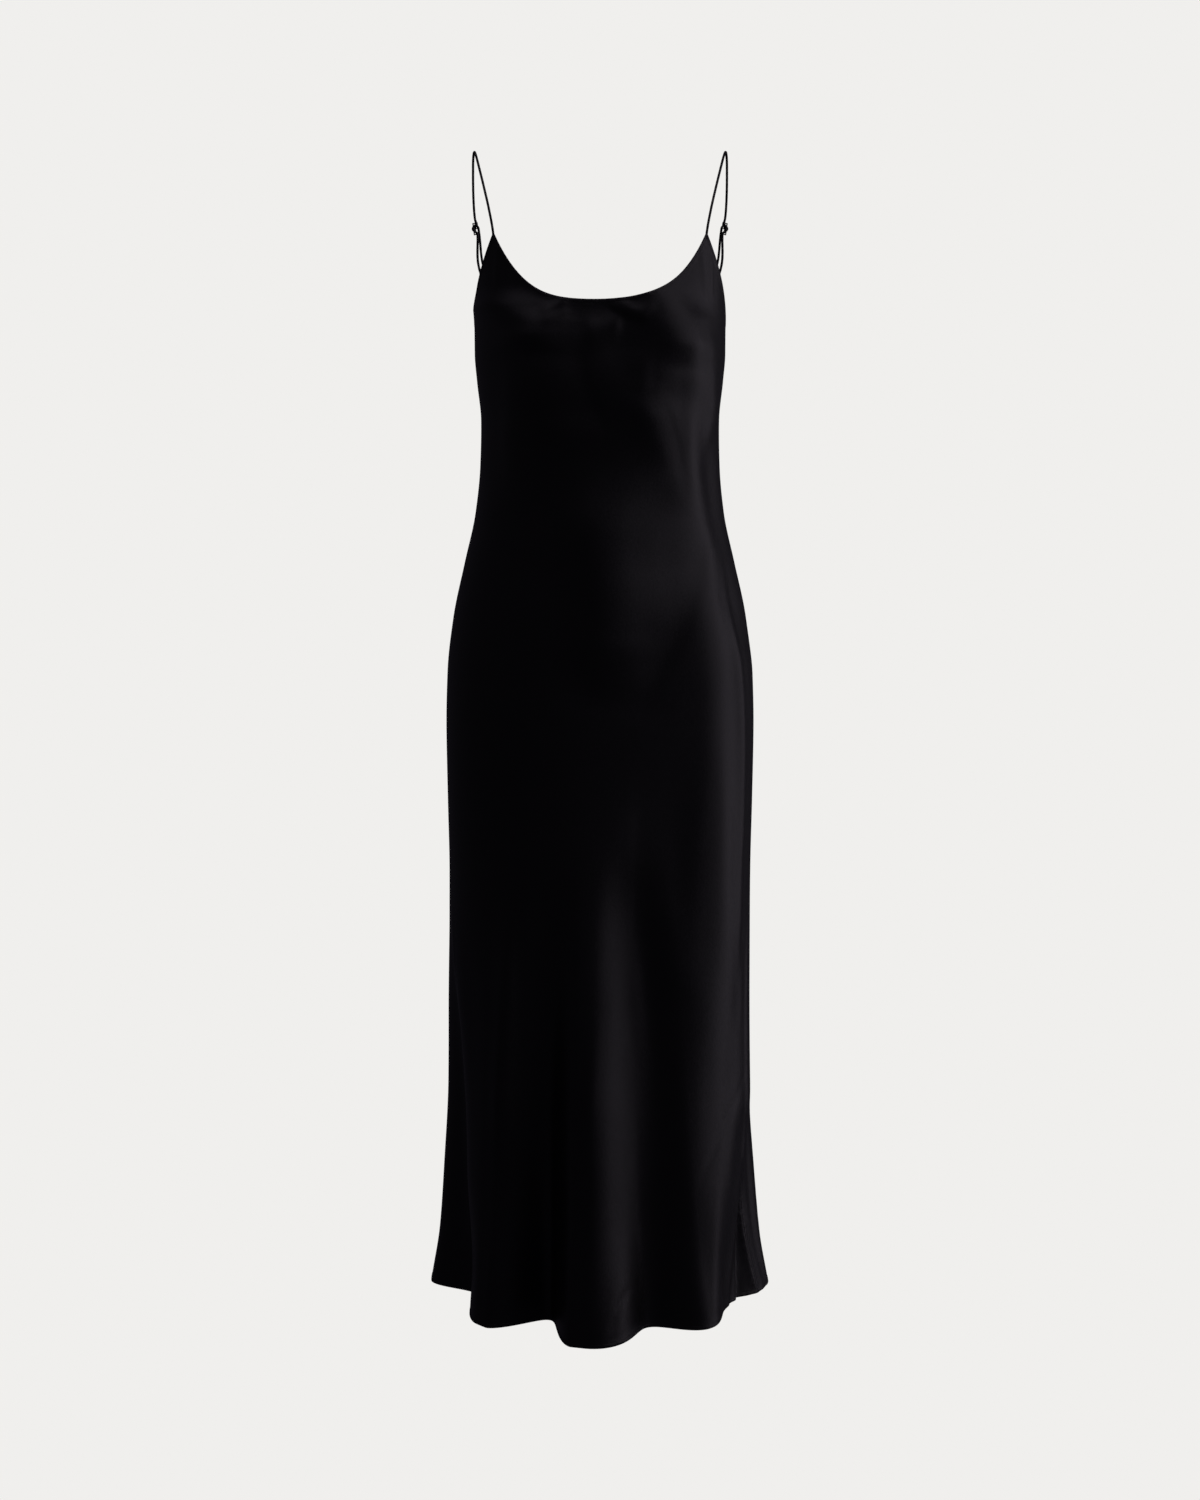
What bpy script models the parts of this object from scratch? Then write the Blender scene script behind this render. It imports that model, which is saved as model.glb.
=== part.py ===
"""Bias-cut slip dress with thin adjustable straps, hollow and filled out as if worn.

Metres, +Z up. The front faces -Y and the wearer's left is +X. The origin is the middle of the line between
the tops of the two shoulder straps, where the wearer's shoulders carry the dress.

Angles go round the body from the wearer's left side: 0 is the left side, 90 the front, 180 the right side
and 270 the back.
"""

import math
from collections import namedtuple

import bmesh
import bpy
import numpy as np
from mathutils import Matrix, Vector

# Cloth
WALL = 0.0016
SEAM_GAP = 0.0003

# Levels, all below the strap tops
HEM_Z = -1.2553
UNDERARM_Z = -0.186
FULL_RING_Z = -0.282
FRONT_POINT_Z = -0.0945
FRONT_NECK_LOW_Z = -0.1673
BACK_POINT_Z = -0.163
BACK_NECK_LOW_Z = -0.272

# Where the straps join the panels, as angles from the side
FRONT_POINT_ANGLE = 33.9
BACK_POINT_ANGLE = 28.4
NECK_SKEW = 0.006
FRONT_ARMHOLE_CURVE = 1.5
BACK_ARMHOLE_CURVE = 1.6
SCOOP_ROUND = 0.25

# Bust fullness: one soft rise on each side, with the cloth spanning between them
BUST_X = 0.070
BUST_Z = -0.236
BUST_RISE = 0.011
BUST_WIDTH = 0.044
BUST_HEIGHT = 0.052

# Grid of a panel
SIDE_COLUMNS = 7
MIDDLE_COLUMNS = 32
TOP_ROWS = 6
BODY_ROWS = 8
SKIRT_ROWS = 10
SKIRT_Z = -0.70

# Straps and their metal pieces
STRAP_RADIUS = 0.0014
TAB_RADIUS = 0.0012
STRAND_SPREAD = 0.0018
PIECE_GAP = 0.0003
CORD_SLACK = 0.0001
SLIDER_BAR = 0.0012
SLIDER_PITCH = 0.0060
SLIDER_WIDTH = 0.0094
SLIDER_EDGE = 0.0003
SLIDER_WEAVE = 0.0027
RING_RADIUS = 0.0046
RING_WIRE = 0.0008
RING_RISE = 0.0115
RING_APPROACH = 2.0
TUCK = 0.009
TUCK_ANGLE = 32.7
HALF_TURN_STEPS = 7

# How the cloth lies round the body at each level. Squareness 2 is an ellipse; more is flatter, with fuller
# corners.
Section = namedtuple("Section", "z half_width front back front_square back_square")
SECTIONS = (
    Section(z=-0.060, half_width=0.1365, front=0.1045, back=0.094, front_square=2.60, back_square=2.80),
    Section(z=-0.130, half_width=0.1364, front=0.1085, back=0.096, front_square=2.60, back_square=2.80),
    Section(z=-0.180, half_width=0.1359, front=0.1125, back=0.099, front_square=2.55, back_square=2.75),
    Section(z=-0.215, half_width=0.1358, front=0.1170, back=0.101, front_square=2.50, back_square=2.70),
    Section(z=-0.245, half_width=0.1335, front=0.1190, back=0.100, front_square=2.50, back_square=2.60),
    Section(z=-0.287, half_width=0.1295, front=0.1165, back=0.096, front_square=2.45, back_square=2.50),
    Section(z=-0.335, half_width=0.1308, front=0.1110, back=0.090, front_square=2.40, back_square=2.40),
    Section(z=-0.385, half_width=0.1360, front=0.1080, back=0.088, front_square=2.40, back_square=2.35),
    Section(z=-0.440, half_width=0.1483, front=0.1100, back=0.094, front_square=2.40, back_square=2.30),
    Section(z=-0.500, half_width=0.1612, front=0.1140, back=0.108, front_square=2.40, back_square=2.30),
    Section(z=-0.560, half_width=0.1681, front=0.1170, back=0.121, front_square=2.40, back_square=2.30),
    Section(z=-0.620, half_width=0.1697, front=0.1195, back=0.127, front_square=2.40, back_square=2.30),
    Section(z=-0.700, half_width=0.1687, front=0.1230, back=0.130, front_square=2.35, back_square=2.25),
    Section(z=-0.780, half_width=0.1674, front=0.1300, back=0.134, front_square=2.25, back_square=2.20),
    Section(z=-0.900, half_width=0.1676, front=0.1460, back=0.143, front_square=2.15, back_square=2.10),
    Section(z=-1.020, half_width=0.1692, front=0.1640, back=0.156, front_square=2.05, back_square=2.05),
    Section(z=-1.120, half_width=0.1752, front=0.1790, back=0.168, front_square=1.95, back_square=1.98),
    Section(z=-1.195, half_width=0.1812, front=0.1900, back=0.178, front_square=1.87, back_square=1.93),
    Section(z=HEM_Z, half_width=0.1917, front=0.2005, back=0.188, front_square=1.78, back_square=1.88),
)

# The skirt's folds, as the troughs between its lobes: how far each comes in at the hem, how far it spreads
# to each side in degrees, how quickly each side rises (1 is an even wave, more is a slow crest), the level
# where it begins to show, its angle up there, and how it grows on the way down (1 is evenly).
Fold = namedtuple("Fold", "angle depth before after before_shape after_shape starts top_angle growth")
FOLDS = (
    Fold(27.7, 0.0267, 23.6, 21.9, 0.8, 0.8, starts=-1.020, top_angle=14.0, growth=0.9),
    Fold(70.6, 0.0421, 19.9, 29.4, 1.0, 3.2, starts=-0.690, top_angle=77.0, growth=1.0),
    Fold(113.8, 0.0600, 14.8, 16.9, 0.8, 0.8, starts=-0.720, top_angle=113.0, growth=1.15),
    Fold(164.5, 0.0410, 29.0, 15.2, 0.8, 1.0, starts=-0.800, top_angle=168.0, growth=1.1),
    Fold(205.0, 0.0360, 22.0, 24.0, 1.2, 1.6, starts=-0.800, top_angle=207.0, growth=1.15),
    Fold(249.0, 0.0540, 21.0, 20.0, 1.1, 1.3, starts=-0.720, top_angle=253.0, growth=1.15),
    Fold(289.0, 0.0430, 19.0, 22.0, 1.2, 1.8, starts=-0.790, top_angle=285.0, growth=1.15),
    Fold(333.0, 0.0400, 22.0, 22.0, 1.4, 1.2, starts=-0.740, top_angle=334.0, growth=1.1),
)

# The side seams: bias-cut seams creep round the body below the hips, so both turn the same way.
Seam = namedtuple("Seam", "z left_side right_side")
SEAMS = (
    Seam(z=-0.060, left_side=0.0, right_side=180.0),
    Seam(z=-0.640, left_side=0.0, right_side=180.0),
    Seam(z=-0.740, left_side=3.5, right_side=181.0),
    Seam(z=-0.880, left_side=15.0, right_side=184.0),
    Seam(z=-1.050, left_side=16.0, right_side=187.0),
    Seam(z=-1.160, left_side=14.0, right_side=188.0),
    Seam(z=HEM_Z, left_side=12.3, right_side=189.0),
)

# The wearer's left strap from the front point over the shoulder to its slider. The right one mirrors it.
Spot = namedtuple("Spot", "x y z")
STRAP_RUN = (
    Spot(0.1161, -0.0670, -0.0715),
    Spot(0.1221, -0.0525, -0.0460),
    Spot(0.1285, -0.0345, -0.0210),
    Spot(0.1331, -0.0155, -0.0046),
    Spot(0.1356, 0.0000, 0.0000),
    Spot(0.1374, 0.0130, -0.0048),
    Spot(0.1385, 0.0265, -0.0180),
    Spot(0.1391, 0.0380, -0.0355),
    Spot(0.1388, 0.0448, -0.0530),
)
SLIDER_SPOT = Spot(0.1373, 0.0498, -0.0735)
RUN_MIDDLE = Spot(0.1327, 0.0580, -0.1108)
METAL_OUTWARD = Spot(0.85, 0.53, 0.0)

# Where a strand passes the slider, counted in strand spreads, bar pitches and weaves
Pass = namedtuple("Pass", "spreads pitches weaves")
SLIDER_ENTRY = Pass(spreads=0.7, pitches=-1.7, weaves=-0.6)
RUN_DOWN = Pass(spreads=1.3, pitches=0.0, weaves=0.5)
RUN_UP = Pass(spreads=-1.3, pitches=0.0, weaves=-0.5)
WRAP_ENTRY = Pass(spreads=-1.0, pitches=1.6, weaves=-0.9)
STRAP_END = Pass(spreads=-1.0, pitches=0.55, weaves=0.9)

COLOURS = {"satin": (0.012, 0.011, 0.013), "cord": (0.010, 0.010, 0.011), "metal": (0.015, 0.015, 0.016)}
ROUGHNESS = {"satin": 0.36, "cord": 0.45, "metal": 0.25}
METALLIC = {"satin": 0.0, "cord": 0.0, "metal": 0.9}


def level_value(rows, z, column):
    """One column of a table of levels, read smoothly between its rows."""
    rows = sorted(rows, key=lambda row: row.z)
    levels = np.array([row.z for row in rows])
    values = np.array([getattr(row, column) for row in rows])
    rates = np.diff(values) / np.diff(levels)
    slopes = np.zeros(len(values))
    same_way = rates[:-1] * rates[1:] > 0
    slopes[1:-1][same_way] = 2 / (1 / rates[:-1][same_way] + 1 / rates[1:][same_way])
    slopes[0], slopes[-1] = rates[0], rates[-1]
    z = min(max(z, levels[0]), levels[-1])
    i = min(int(np.searchsorted(levels, z, side="right")) - 1, len(levels) - 2)
    span = levels[i + 1] - levels[i]
    u = (z - levels[i]) / span
    start = (1 + 2 * u) * (1 - u) ** 2 * values[i] + u * (1 - u) ** 2 * span * slopes[i]
    end = u * u * (3 - 2 * u) * values[i + 1] - u * u * (1 - u) * span * slopes[i + 1]
    return start + end


def fold_inset(angle, z):
    """How far the skirt's troughs bring the cloth in at this place."""
    inset = 0.0
    for fold in FOLDS:
        down = max(fold.starts - z, 0.0) / (fold.starts - HEM_Z)
        away = (angle - fold.top_angle - (fold.angle - fold.top_angle) * down + 180) % 360 - 180
        reach = fold.before if away < 0 else fold.after
        shape = fold.before_shape if away < 0 else fold.after_shape
        if abs(away) < reach and down > 0:
            bell = 0.5 + 0.5 * math.cos(math.pi * away / reach)
            inset += fold.depth * down**fold.growth * bell**shape
    return inset


def cloth_point(angle, z):
    """The outer face of the cloth at this angle and level."""
    turn = math.radians(angle)
    across, ahead = math.cos(turn), math.sin(turn)
    side = "front" if ahead >= 0 else "back"
    half_width = level_value(SECTIONS, z, "half_width")
    depth = level_value(SECTIONS, z, side)
    square = level_value(SECTIONS, z, side + "_square")
    reach = ((abs(across) / half_width) ** square + (abs(ahead) / depth) ** square) ** (-1 / square)
    reach -= fold_inset(angle, z)
    x, y = reach * across, -reach * ahead
    if ahead > 0:
        for bust in (BUST_X, -BUST_X):
            spread = ((x - bust) / BUST_WIDTH) ** 2 + ((z - BUST_Z) / BUST_HEIGHT) ** 2
            y -= BUST_RISE * math.exp(-spread) * ahead
    return Vector((x, y, z))


def cloth_outward(angle, z):
    """The direction straight out of the cloth."""
    step = 0.5
    drop = 0.002
    along = cloth_point(angle + step, z) - cloth_point(angle - step, z)
    down = cloth_point(angle, z - drop) - cloth_point(angle, z + drop)
    return along.cross(down).normalized()


def front_top(angle):
    """The front panel's top edge: armhole, strap point, neck scoop, strap point, armhole."""
    from_side = max(min(angle, 180 - angle), 0.0)
    if from_side <= FRONT_POINT_ANGLE:
        rise = (from_side / FRONT_POINT_ANGLE) ** FRONT_ARMHOLE_CURVE
        return UNDERARM_Z + rise * (FRONT_POINT_Z - UNDERARM_Z)
    return scoop(angle, FRONT_POINT_ANGLE, FRONT_POINT_Z, FRONT_NECK_LOW_Z, NECK_SKEW)


def back_top(angle):
    """The back panel's top edge, lower than the front's."""
    from_side = max(min(angle - 180, 360 - angle), 0.0)
    if from_side <= BACK_POINT_ANGLE:
        rise = (from_side / BACK_POINT_ANGLE) ** BACK_ARMHOLE_CURVE
        return UNDERARM_Z + rise * (BACK_POINT_Z - UNDERARM_Z)
    return scoop(angle, -BACK_POINT_ANGLE, BACK_POINT_Z, BACK_NECK_LOW_Z, 0.0)


def scoop(angle, point_angle, point_z, low_z, skew):
    """The level where a neck scoop, part round and part squared, crosses this angle."""
    half = cloth_point(point_angle, point_z).x
    z = low_z
    for _ in range(8):
        x = cloth_point(angle, z).x
        u = min(abs(x + skew * max(1 - (x / half) ** 2, 0) ** 3) / half, 1.0)
        z = low_z + (point_z - low_z) * (SCOOP_ROUND * u**2 + (1 - SCOOP_ROUND) * u**4)
    return z


def column_shares(point_share):
    """Where the columns of a panel's grid lie from seam to seam, with one at each strap point."""
    side = np.linspace(0, point_share, SIDE_COLUMNS + 1)
    middle = np.linspace(point_share, 1 - point_share, MIDDLE_COLUMNS + 1)
    return np.concatenate([side[:-1], middle, 1 - side[-2::-1]])


def panel_levels(top):
    """The levels of one column of a panel, from the hem up to its top edge."""
    skirt = np.linspace(HEM_Z, SKIRT_Z, SKIRT_ROWS + 1)
    body = np.linspace(SKIRT_Z, FULL_RING_Z, BODY_ROWS + 1)
    shoulder = np.linspace(FULL_RING_Z, top, TOP_ROWS + 1)
    return np.concatenate([skirt[:-1], body[:-1], shoulder])


def seam_angles(z, face):
    """The two ends of a panel at this level, drawn in by half of the gap between the panels."""
    left = level_value(SEAMS, z, "left_side")
    right = level_value(SEAMS, z, "right_side")
    trim = math.degrees(SEAM_GAP / 2 / level_value(SECTIONS, z, "half_width"))
    if face == "front":
        return left + trim, right - trim
    return right + trim, left + 360 - trim


def panel_points(face, depth):
    """A panel's grid of points, column by column from seam to seam, this deep inside its outer face."""
    point_share = (FRONT_POINT_ANGLE if face == "front" else BACK_POINT_ANGLE) / 180
    top_edge = front_top if face == "front" else back_top
    columns = []
    for share in column_shares(point_share):
        start, end = seam_angles(UNDERARM_Z, face)
        column = []
        for z in panel_levels(top_edge(start + share * (end - start))):
            start, end = seam_angles(z, face)
            angle = start + share * (end - start)
            column.append(cloth_point(angle, z) - cloth_outward(angle, z) * depth)
        columns.append(column)
    return columns


def add_panel(name, face):
    """A panel: its outer and inner faces, joined round their edges."""
    mesh = bmesh.new()
    outer = [[mesh.verts.new(spot) for spot in column] for column in panel_points(face, 0)]
    inner = [[mesh.verts.new(spot) for spot in column] for column in panel_points(face, WALL)]
    last_column, last_row = len(outer) - 1, len(outer[0]) - 1
    for i in range(last_column):
        for j in range(last_row):
            mesh.faces.new((outer[i][j], outer[i][j + 1], outer[i + 1][j + 1], outer[i + 1][j]))
            mesh.faces.new((inner[i][j], inner[i + 1][j], inner[i + 1][j + 1], inner[i][j + 1]))
    for i in range(last_column):
        for j in (0, last_row):
            rim = (outer[i][j], outer[i + 1][j], inner[i + 1][j], inner[i][j])
            mesh.faces.new(rim if j == 0 else rim[::-1])
    for j in range(last_row):
        for i in (0, last_column):
            rim = (outer[i][j + 1], outer[i][j], inner[i][j], inner[i][j + 1])
            mesh.faces.new(rim if i == 0 else rim[::-1])
    return add_mesh_object(name, mesh, "satin")


def add_mesh_object(name, mesh, finish):
    data = bpy.data.meshes.new(name)
    mesh.to_mesh(data)
    mesh.free()
    data.shade_smooth()
    data.set_sharp_from_angle(angle=math.radians(40))
    data.materials.append(material(finish))
    made = bpy.data.objects.new(name, data)
    bpy.context.scene.collection.objects.link(made)
    return made


def material(finish):
    """The Principled material of one finish, made once."""
    made = bpy.data.materials.get(finish)
    if made is None:
        made = bpy.data.materials.new(finish)
        made.use_nodes = True
        shader = made.node_tree.nodes["Principled BSDF"]
        shader.inputs["Base Color"].default_value = (*COLOURS[finish], 1)
        shader.inputs["Roughness"].default_value = ROUGHNESS[finish]
        shader.inputs["Metallic"].default_value = METALLIC[finish]
    return made


def smooth_route(points, per_span=14):
    """A smooth curve through the points, finely sampled."""
    padded = [2 * points[0] - points[1], *points, 2 * points[-1] - points[-2]]
    route = []
    for before, start, end, after in zip(padded, padded[1:], padded[2:], padded[3:]):
        length = (end - start).length
        enter = (end - before) * (length / ((end - start).length + (start - before).length))
        leave = (after - start) * (length / ((after - end).length + (end - start).length))
        for step in range(per_span):
            u = step / per_span
            spot = start * ((1 + 2 * u) * (1 - u) ** 2) + enter * (u * (1 - u) ** 2)
            spot += end * (u * u * (3 - 2 * u)) - leave * (u * u * (1 - u))
            route.append(spot)
    route.append(points[-1])
    return route


def thinned(route, turn=16.0, longest=0.011):
    """The route with points only where it turns, or after a long run."""
    kept = [route[0]]
    for before, spot, after in zip(route, route[1:], route[2:]):
        heading = spot - kept[-1]
        bend = math.degrees(heading.angle(after - spot)) if heading.length > 1e-6 else 0.0
        if bend > turn / 2 or heading.length > longest:
            kept.append(spot)
    kept.append(route[-1])
    return kept


def add_cord(name, route, radius):
    """A round cord along a route, closed at both ends."""
    data = bpy.data.curves.new(name, "CURVE")
    data.dimensions = "3D"
    data.bevel_depth = radius
    data.bevel_resolution = 2
    data.use_fill_caps = True
    spline = data.splines.new("POLY")
    spline.points.add(len(route) - 1)
    for point, spot in zip(spline.points, route):
        point.co = (*spot, 1)
    data.materials.append(material("cord"))
    made = bpy.data.objects.new(name, data)
    bpy.context.scene.collection.objects.link(made)
    return made


def hardware_frame(spot, ahead, outward):
    """Axes at a strap's metal piece: x across the strap, y down along it, z out of the cloth."""
    down = Vector(ahead).normalized()
    out = Vector(outward)
    out = (out - down * out.dot(down)).normalized()
    across = down.cross(out)
    turn = Matrix((across, down, out)).transposed().to_4x4()
    return Matrix.Translation(Vector(spot)) @ turn


def back_point_inside(depth):
    """A place behind the back panel's strap point, this deep inside the cloth's outer face."""
    inward = cloth_outward(-BACK_POINT_ANGLE, BACK_POINT_Z) * -depth
    return cloth_point(-BACK_POINT_ANGLE, BACK_POINT_Z) + inward


def tab_depths():
    """How deep the tab's two legs lie inside the cloth's outer face, one behind the other."""
    near = WALL + PIECE_GAP + TAB_RADIUS
    return near, near + 2 * TAB_RADIUS + PIECE_GAP


def strap_end_line():
    """The foot of the strap's lower run, between the tab's legs, and the direction the run comes down."""
    foot = back_point_inside(sum(tab_depths()) / 2)
    return foot, (foot - Vector(RUN_MIDDLE)).normalized()


def slider_place():
    return hardware_frame(SLIDER_SPOT, Vector(RUN_MIDDLE) - Vector(SLIDER_SPOT), METAL_OUTWARD)


def ring_place():
    foot, down = strap_end_line()
    return hardware_frame(foot - down * RING_RISE, down, METAL_OUTWARD)


def run_place():
    """The middle of the doubled run between slider and ring."""
    down = ring_place().translation - Vector(SLIDER_SPOT)
    return hardware_frame(RUN_MIDDLE, down, METAL_OUTWARD)


def passing(slider, step):
    """A place on a strand as it passes the slider, or another such frame."""
    along = step.pitches * SLIDER_PITCH
    return slider @ Vector((step.spreads * STRAND_SPREAD, along, step.weaves * SLIDER_WEAVE))


def half_turns():
    return np.linspace(0, math.pi, HALF_TURN_STEPS)


def strap_route():
    """The left strap: out from behind the front point, over the shoulder, through the slider, round the
    ring and back up to its end, which wraps the slider's middle bar."""
    tuck_depth = WALL + PIECE_GAP + STRAP_RADIUS
    route = []
    for z in (FRONT_POINT_Z - TUCK, FRONT_POINT_Z):
        inward = cloth_outward(TUCK_ANGLE, z) * -tuck_depth
        route.append(cloth_point(TUCK_ANGLE, z) + inward)
    route += [Vector(spot) for spot in STRAP_RUN]
    slider = slider_place()
    route.append(passing(slider, SLIDER_ENTRY))
    for bar in np.arange(-1, 1.01, 0.25):
        route.append(passing(slider, Pass(1, bar, math.cos(math.pi * bar))))
    route.append(passing(run_place(), RUN_DOWN))
    ring = ring_place()
    hook = RING_WIRE + PIECE_GAP + STRAP_RADIUS
    half_spread = STRAND_SPREAD / 2
    approach = -RING_RADIUS - RING_APPROACH * hook
    route.append(ring @ Vector((half_spread, approach, hook)))
    for turn in half_turns():
        under = -RING_RADIUS + hook * math.sin(turn)
        route.append(ring @ Vector((half_spread * math.cos(turn), under, hook * math.cos(turn))))
    route.append(ring @ Vector((-half_spread, approach, -hook)))
    route.append(passing(run_place(), RUN_UP))
    route.append(passing(slider, WRAP_ENTRY))
    wrap = SLIDER_BAR / 2 + PIECE_GAP + STRAP_RADIUS + CORD_SLACK
    for turn in half_turns():
        over = slider @ Vector((-STRAND_SPREAD, -wrap * math.sin(turn), -wrap * math.cos(turn)))
        route.append(over)
    route.append(passing(slider, STRAP_END))
    return route


def tab_route():
    """The left ring's tab: up from inside the back point, through the ring and back down behind itself."""
    ring = ring_place()
    hook = RING_WIRE + PIECE_GAP + TAB_RADIUS
    leg_spread = TAB_RADIUS + PIECE_GAP / 2
    low = RING_RADIUS + RING_APPROACH * hook
    loop = [ring @ Vector((0, low, leg_spread))]
    for turn in half_turns():
        loop.append(ring @ Vector((0, RING_RADIUS - hook * math.sin(turn), hook * math.cos(turn))))
    loop.append(ring @ Vector((0, low, -leg_spread)))
    below = cloth_point(-BACK_POINT_ANGLE, BACK_POINT_Z - TUCK)
    inward = cloth_outward(-BACK_POINT_ANGLE, BACK_POINT_Z - TUCK) * -1
    near, far = tab_depths()
    near_leg = [below + inward * near, back_point_inside(near)]
    far_leg = [back_point_inside(far), below + inward * far]
    return near_leg + loop + far_leg


def slider_mesh():
    """A flat frame of three bars between two sides, with its middle at the origin."""
    half_bar = SLIDER_BAR / 2
    half_width = SLIDER_WIDTH / 2
    across = [-half_width, -half_width + SLIDER_BAR, half_width - SLIDER_BAR, half_width]
    along = []
    for bar in (-1, 0, 1):
        along += [bar * SLIDER_PITCH - half_bar, bar * SLIDER_PITCH + half_bar]
    mesh = bmesh.new()
    grid = [[mesh.verts.new((x, y, -half_bar)) for y in along] for x in across]
    for i in range(len(across) - 1):
        for j in range(len(along) - 1):
            window = i == 1 and j % 2 == 1
            if not window:
                mesh.faces.new((grid[i][j], grid[i][j + 1], grid[i + 1][j + 1], grid[i + 1][j]))
    raised = bmesh.ops.extrude_face_region(mesh, geom=mesh.faces[:])
    top = [part for part in raised["geom"] if isinstance(part, bmesh.types.BMVert)]
    bmesh.ops.translate(mesh, verts=top, vec=(0, 0, SLIDER_BAR))
    bmesh.ops.recalc_face_normals(mesh, faces=mesh.faces[:])
    return mesh


def ring_mesh(around=20, sides=8):
    """A round wire ring in the XY plane."""
    mesh = bmesh.new()
    rows = []
    for i in range(around):
        turn = 2 * math.pi * i / around
        row = []
        for j in range(sides):
            roll = 2 * math.pi * j / sides
            reach = RING_RADIUS + RING_WIRE * math.cos(roll)
            spot = (reach * math.cos(turn), reach * math.sin(turn), RING_WIRE * math.sin(roll))
            row.append(mesh.verts.new(spot))
        rows.append(row)
    for i in range(around):
        near, far = rows[i], rows[(i + 1) % around]
        for j in range(sides):
            k = (j + 1) % sides
            mesh.faces.new((near[j], far[j], far[k], near[k]))
    bmesh.ops.recalc_face_normals(mesh, faces=mesh.faces[:])
    return mesh


def side_mirror(side):
    """The wearer's left pieces are modelled; the right ones are their mirror image."""
    return Matrix.Diagonal((1 if side == "left" else -1, 1, 1, 1))


def add_hardware(name, mesh, place, side, edge=0.0):
    """A metal piece, placed in its mesh so that a mirrored one still faces outwards."""
    bmesh.ops.transform(mesh, matrix=side_mirror(side) @ place, verts=mesh.verts[:])
    bmesh.ops.recalc_face_normals(mesh, faces=mesh.faces[:])
    piece = add_mesh_object(name, mesh, "metal")
    if edge:
        bevel = piece.modifiers.new("edge", "BEVEL")
        bevel.width = edge
        bevel.segments = 2
        bevel.limit_method = "ANGLE"
    return piece


def add_strap_set(side):
    mirror = side_mirror(side)
    strap = thinned(smooth_route(strap_route()))
    add_cord("strap_" + side, [mirror @ spot for spot in strap], STRAP_RADIUS)
    tab = thinned(smooth_route(tab_route()))
    add_cord("tab_" + side, [mirror @ spot for spot in tab], TAB_RADIUS)
    add_hardware("slider_" + side, slider_mesh(), slider_place(), side, SLIDER_EDGE)
    add_hardware("ring_" + side, ring_mesh(), ring_place(), side)


def main():
    for old in list(bpy.data.objects):
        bpy.data.objects.remove(old)
    add_panel("front_panel", "front")
    add_panel("back_panel", "back")
    for side in ("left", "right"):
        add_strap_set(side)


main()
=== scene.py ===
"""A slip dress in black satin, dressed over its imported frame.

Metres, +Z up. The front faces -Y and the wearer's left is +X. Angles go round the body from the wearer's
left side: 0 is the left side, 90 the front, 180 the right side and 270 the back.
"""

import math
from collections import namedtuple

import bpy
import numpy as np
from mathutils import Matrix, Vector


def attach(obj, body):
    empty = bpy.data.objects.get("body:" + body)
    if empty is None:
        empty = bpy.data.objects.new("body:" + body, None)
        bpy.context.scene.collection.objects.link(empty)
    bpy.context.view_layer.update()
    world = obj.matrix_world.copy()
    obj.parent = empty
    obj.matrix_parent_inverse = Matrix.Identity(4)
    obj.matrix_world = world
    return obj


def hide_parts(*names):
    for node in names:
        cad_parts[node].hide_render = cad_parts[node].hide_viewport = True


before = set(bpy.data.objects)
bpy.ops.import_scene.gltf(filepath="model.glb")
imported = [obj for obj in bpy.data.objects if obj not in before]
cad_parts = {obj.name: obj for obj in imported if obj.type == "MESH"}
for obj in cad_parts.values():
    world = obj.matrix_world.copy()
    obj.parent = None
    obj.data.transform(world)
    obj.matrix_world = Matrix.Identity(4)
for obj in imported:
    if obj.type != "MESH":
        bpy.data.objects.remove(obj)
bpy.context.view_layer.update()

# ----------------------------------------
# The cut: levels, strap points and the sections that the cloth follows

HEM_Z = -1.2553
UNDERARM_Z = -0.186
FULL_RING_Z = -0.282
# A panel's top edge: the angle it starts at, its strap point on the wearer's left, the level of its points
# and of the scoop's lowest place, how the armhole curves up, and how far the scoop leans to one side
TopEdge = namedtuple("TopEdge", "start left_point point_z low_z armhole_curve skew")
TOP_EDGES = {
    "front": TopEdge(0, 33.9, -0.0945, -0.1673, 1.5, 0.006),
    "back": TopEdge(180, -28.4, -0.163, -0.272, 1.6, 0.0),
}
# The share of a scoop that is round and not squared, and the passes that settle it on the cloth
SCOOP_ROUND = 0.25
SCOOP_PASSES = 8

# The two rises of the bust: where they are, how far they lift the cloth and how wide and high they are
BUST_X = 0.070
BUST_Z = -0.236
BUST_RISE = 0.011
BUST_WIDTH = 0.044
BUST_HEIGHT = 0.052

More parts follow.
